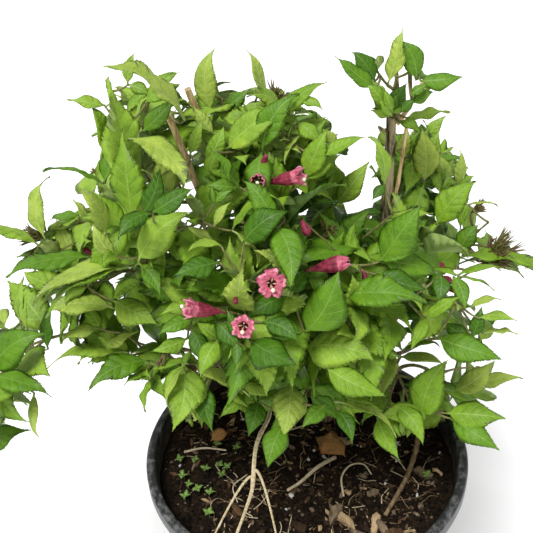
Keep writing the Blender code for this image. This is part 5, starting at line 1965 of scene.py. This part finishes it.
def add_pistil(sheaf, base, heading, length, out, sag, sphere):
    """Four stamens in the mouth, the style, and the pale ball of the stigma past it."""
    tip = base + heading * (length * 0.90 + out) - UP * sag
    start = base + heading * length * 0.3
    sheaf.add_tube(bowed(start, start.lerp(tip, 0.6) + UP * sag * 0.4, tip, 8), [0.00035] * 9, 7,
                   STYLE)
    points, faces = sphere
    sheaf.add(points * 0.0013 + np.array(tip), (faces, STIGMA))
    side = heading.orthogonal().normalized()
    for i in range(4):
        out_way = Matrix.Rotation(2 * math.pi * (i + 0.3) / 4, 3, heading) @ side
        end = base + heading * length * 0.80 + out_way * 0.0026
        sheaf.add_tube(bowed(start, start + heading * length * 0.25, end, 5),
                       [0.0003, 0.0003, 0.0003, 0.0003, 0.0006, 0.0004], 6, STYLE)


def add_calyx(sheaf, base, heading, length, finish, needle=0.62):
    """A slender seed case ending in five needle sepals."""
    side = heading.orthogonal().normalized()
    top = base + heading * length
    sheaf.add_tube(bowed(base, base + heading * length * 0.5, top, 5),
                   [0.0005, 0.0008, 0.0011, 0.0013, 0.0012, 0.0010], 8, finish)
    for i in range(5):
        out = Matrix.Rotation(2 * math.pi * i / 5 + 0.4, 3, heading) @ side
        end = top + heading * length * needle + out * length * CALYX_SPREAD
        knee = top + heading * length * 0.3 + out * length * CALYX_SPREAD * 0.2
        sheaf.add_tube(bowed(top - heading * 0.0008 + out * 0.0006, knee, end, 5),
                       [0.0006, 0.0008, 0.0007, 0.0006, 0.0004, 0.0001], 5, finish)


def add_bud(sheaf, base, heading, length, radius):
    """A closed bud, blunt and a little ribbed."""
    share = np.linspace(0, 1, 12)
    route = [base + heading * length * s for s in share]
    swell = 0.35 + 0.65 * smooth_step(share / 0.7)
    blunt = np.sqrt(np.clip(1.02 - share ** 5, 0, 1))
    sheaf.add_tube(route, radius * swell * blunt, 12, TUBE_PINK)


def add_stalk(sheaf, anchor, base, heading, radius, finish):
    """A stalk that leaves the shoot, sags a little and ends along the flower's heading."""
    bend = (anchor + base - heading * 0.008) / 2 - UP * 0.0015
    sheaf.add_tube(bowed(anchor, bend, base, 8), [radius] * 9, 8, finish)


def carrier(shoots, place):
    """The shoot point nearest to a place, noted as used."""
    place = Vector(place)
    shoot, step = min(((shoot, step) for shoot, _, _ in shoots for step in range(len(shoot.points))),
                      key=lambda row: (row[0].points[row[1]] - place).length)
    shoot.use(shoot.along[step])
    return shoot.points[step]


def make_flowers(growths):
    """The flowers, the buds and the clusters of spent calyxes, each on a stalk of its own."""
    sheaf = Sheaf()
    sphere = ball(2)
    for number, flower in enumerate(FLOWERS):
        chance = random.Random(f"flower {number}")
        base, heading = aimed(flower.base, flower.heading)
        foot = base - heading * 0.0075
        add_stalk(sheaf, carrier(growths[flower.mass], foot), foot, heading, 0.0008, CALYX)
        add_calyx(sheaf, foot, heading, CALYX_LENGTH, CALYX)
        add_trumpet(sheaf, chance, base, heading, flower.length, flower.mouth, flower.opened)
        if flower.stigma:
            add_pistil(sheaf, base, heading, flower.length, *flower.stigma, sphere)
    for bud in BUDS:
        base, heading = aimed(bud.base, bud.heading)
        add_stalk(sheaf, carrier(growths[bud.mass], base), base, heading, 0.0007, CALYX)
        add_bud(sheaf, base, heading, bud.length, bud.radius)
    for number, cluster in enumerate(CLUSTERS):
        chance = random.Random(f"cluster {number}")
        base, heading = aimed(cluster.base, cluster.heading)
        add_stalk(sheaf, carrier(growths[cluster.mass], base), base, heading, 0.0010, DRY)
        for _ in range(cluster.count):
            way = Vector([chance.gauss(0, CLUSTER_SPREAD) for _ in range(3)])
            way = (heading + way).normalized()
            foot = base + way * cluster.length * chance.uniform(-0.1, 0.5)
            sheaf.add_tube(bowed(base - heading * 0.001, base + heading * 0.001, foot, 3),
                           [0.0005] * 4, 5, DRY)
            add_calyx(sheaf, foot, way, cluster.length * chance.uniform(0.65, 1.1),
                      chance.choice((CALYX, CALYX, DRY)), needle=chance.uniform(0.5, 1.0))
    finishes = [petal_finish("petal_outside", (0.090, 0.006, 0.018), (0.370, 0.038, 0.078)),
                petal_finish("petal_lobe", (0.320, 0.038, 0.075), (0.680, 0.180, 0.260)),
                petal_finish("petal_edge", (0.560, 0.130, 0.205), (0.870, 0.380, 0.490)),
                # petal_throat is the throat's pink made lighter: painted light, against the shade inside
                # the tube.
                petal_finish("petal_throat", (0.390, 0.075, 0.085), (0.640, 0.200, 0.190)),
                plain_finish("flower_style", (0.42, 0.26, 0.17), (0.66, 0.50, 0.36)),
                plain_finish("flower_stigma", (0.76, 0.74, 0.50), (0.90, 0.89, 0.68)),
                plain_finish("flower_calyx", (0.130, 0.038, 0.024), (0.150, 0.210, 0.045)),
                plain_finish("calyx_dry", (0.060, 0.028, 0.018), (0.250, 0.190, 0.085))]
    settle(sheaf.build("blossom", finishes), "foliage")


# ---------------------------------------------------------------- leaves on the compost

# Dead leaves: place of the stalk, heading in radians, length.
DEAD_LEAVES = [(0.036, -0.010, 2.35, 0.034), (-0.086, 0.020, 0.4, 0.020)]

SEEDLINGS = [(-0.081, 0.017), (-0.113, -0.001), (-0.090, -0.011), (-0.078, -0.008),
             (-0.074, -0.020), (-0.107, -0.021), (-0.103, -0.031), (-0.105, -0.045),
             (-0.084, -0.039), (-0.083, -0.062), (0.103, -0.037), (-0.070, -0.014),
             (-0.098, -0.006), (-0.094, -0.038), (-0.062, 0.010)]
SEEDLING_HEIGHT = 0.006


def make_dead_leaves(chance):
    """Curled brown leaves."""
    sheaf = Sheaf()
    for x, y, heading, length in DEAD_LEAVES:
        along = (on_circle(heading) + UP * 0.10).normalized()
        facing = square_to(along, UP + Vector((0.2, -0.3, 0)))
        add_leaf(sheaf, chance, (on_soil(x, y, 0.006), along, facing, length), 0, width=0.62,
                 plan=FINE_PLAN, wither=0.6)
    brown = leaf_finishes("dead", (0.400, 0.200, 0.065), (0.300, 0.150, 0.055),
                          (0.340, 0.180, 0.075), roughness=0.75)
    settle(sheaf.build("dead_leaves", brown), "potting_soil")


def make_seedlings(chance):
    """Seedlings of four leaves each, on a short stalk."""
    sheaf = Sheaf()
    for x, y in SEEDLINGS:
        turn = chance.uniform(0, math.pi)
        foot = on_soil(x, y, -0.001)
        lean = Vector((chance.uniform(-0.002, 0.002), chance.uniform(-0.002, 0.002), 0))
        top = foot + lean + UP * SEEDLING_HEIGHT
        sheaf.add_tube(bowed(foot, foot.lerp(top, 0.5), top, 3), [0.0004] * 4, 5, VEIN)
        for i in range(4):
            along = (on_circle(turn + i * math.pi / 2) + UP * 0.25).normalized()
            pose = (top, along, square_to(along, UP), chance.uniform(0.0038, 0.0060))
            add_leaf(sheaf, chance, pose, 0, width=0.72, plan=SMALL_PLAN)
    green = leaf_finishes("seedling", (0.150, 0.260, 0.050), (0.200, 0.310, 0.080),
                          (0.200, 0.300, 0.100), roughness=0.5)
    settle(sheaf.build("seedlings", green), "potting_soil")


def make_ground_leaves():
    """The dead leaves and the seedlings, from one run of random draws."""
    chance = random.Random("dead leaf")
    make_dead_leaves(chance)
    make_seedlings(chance)


set_the_stage()
make_pot()
make_compost()
make_litter()
make_ground_leaves()
LIMBS = make_limbs()
dress_limbs(LIMBS)
GROWTHS, WOOD = dress_masses(LIMBS)
make_flowers(GROWTHS)
make_twigs(GROWTHS, WOOD)
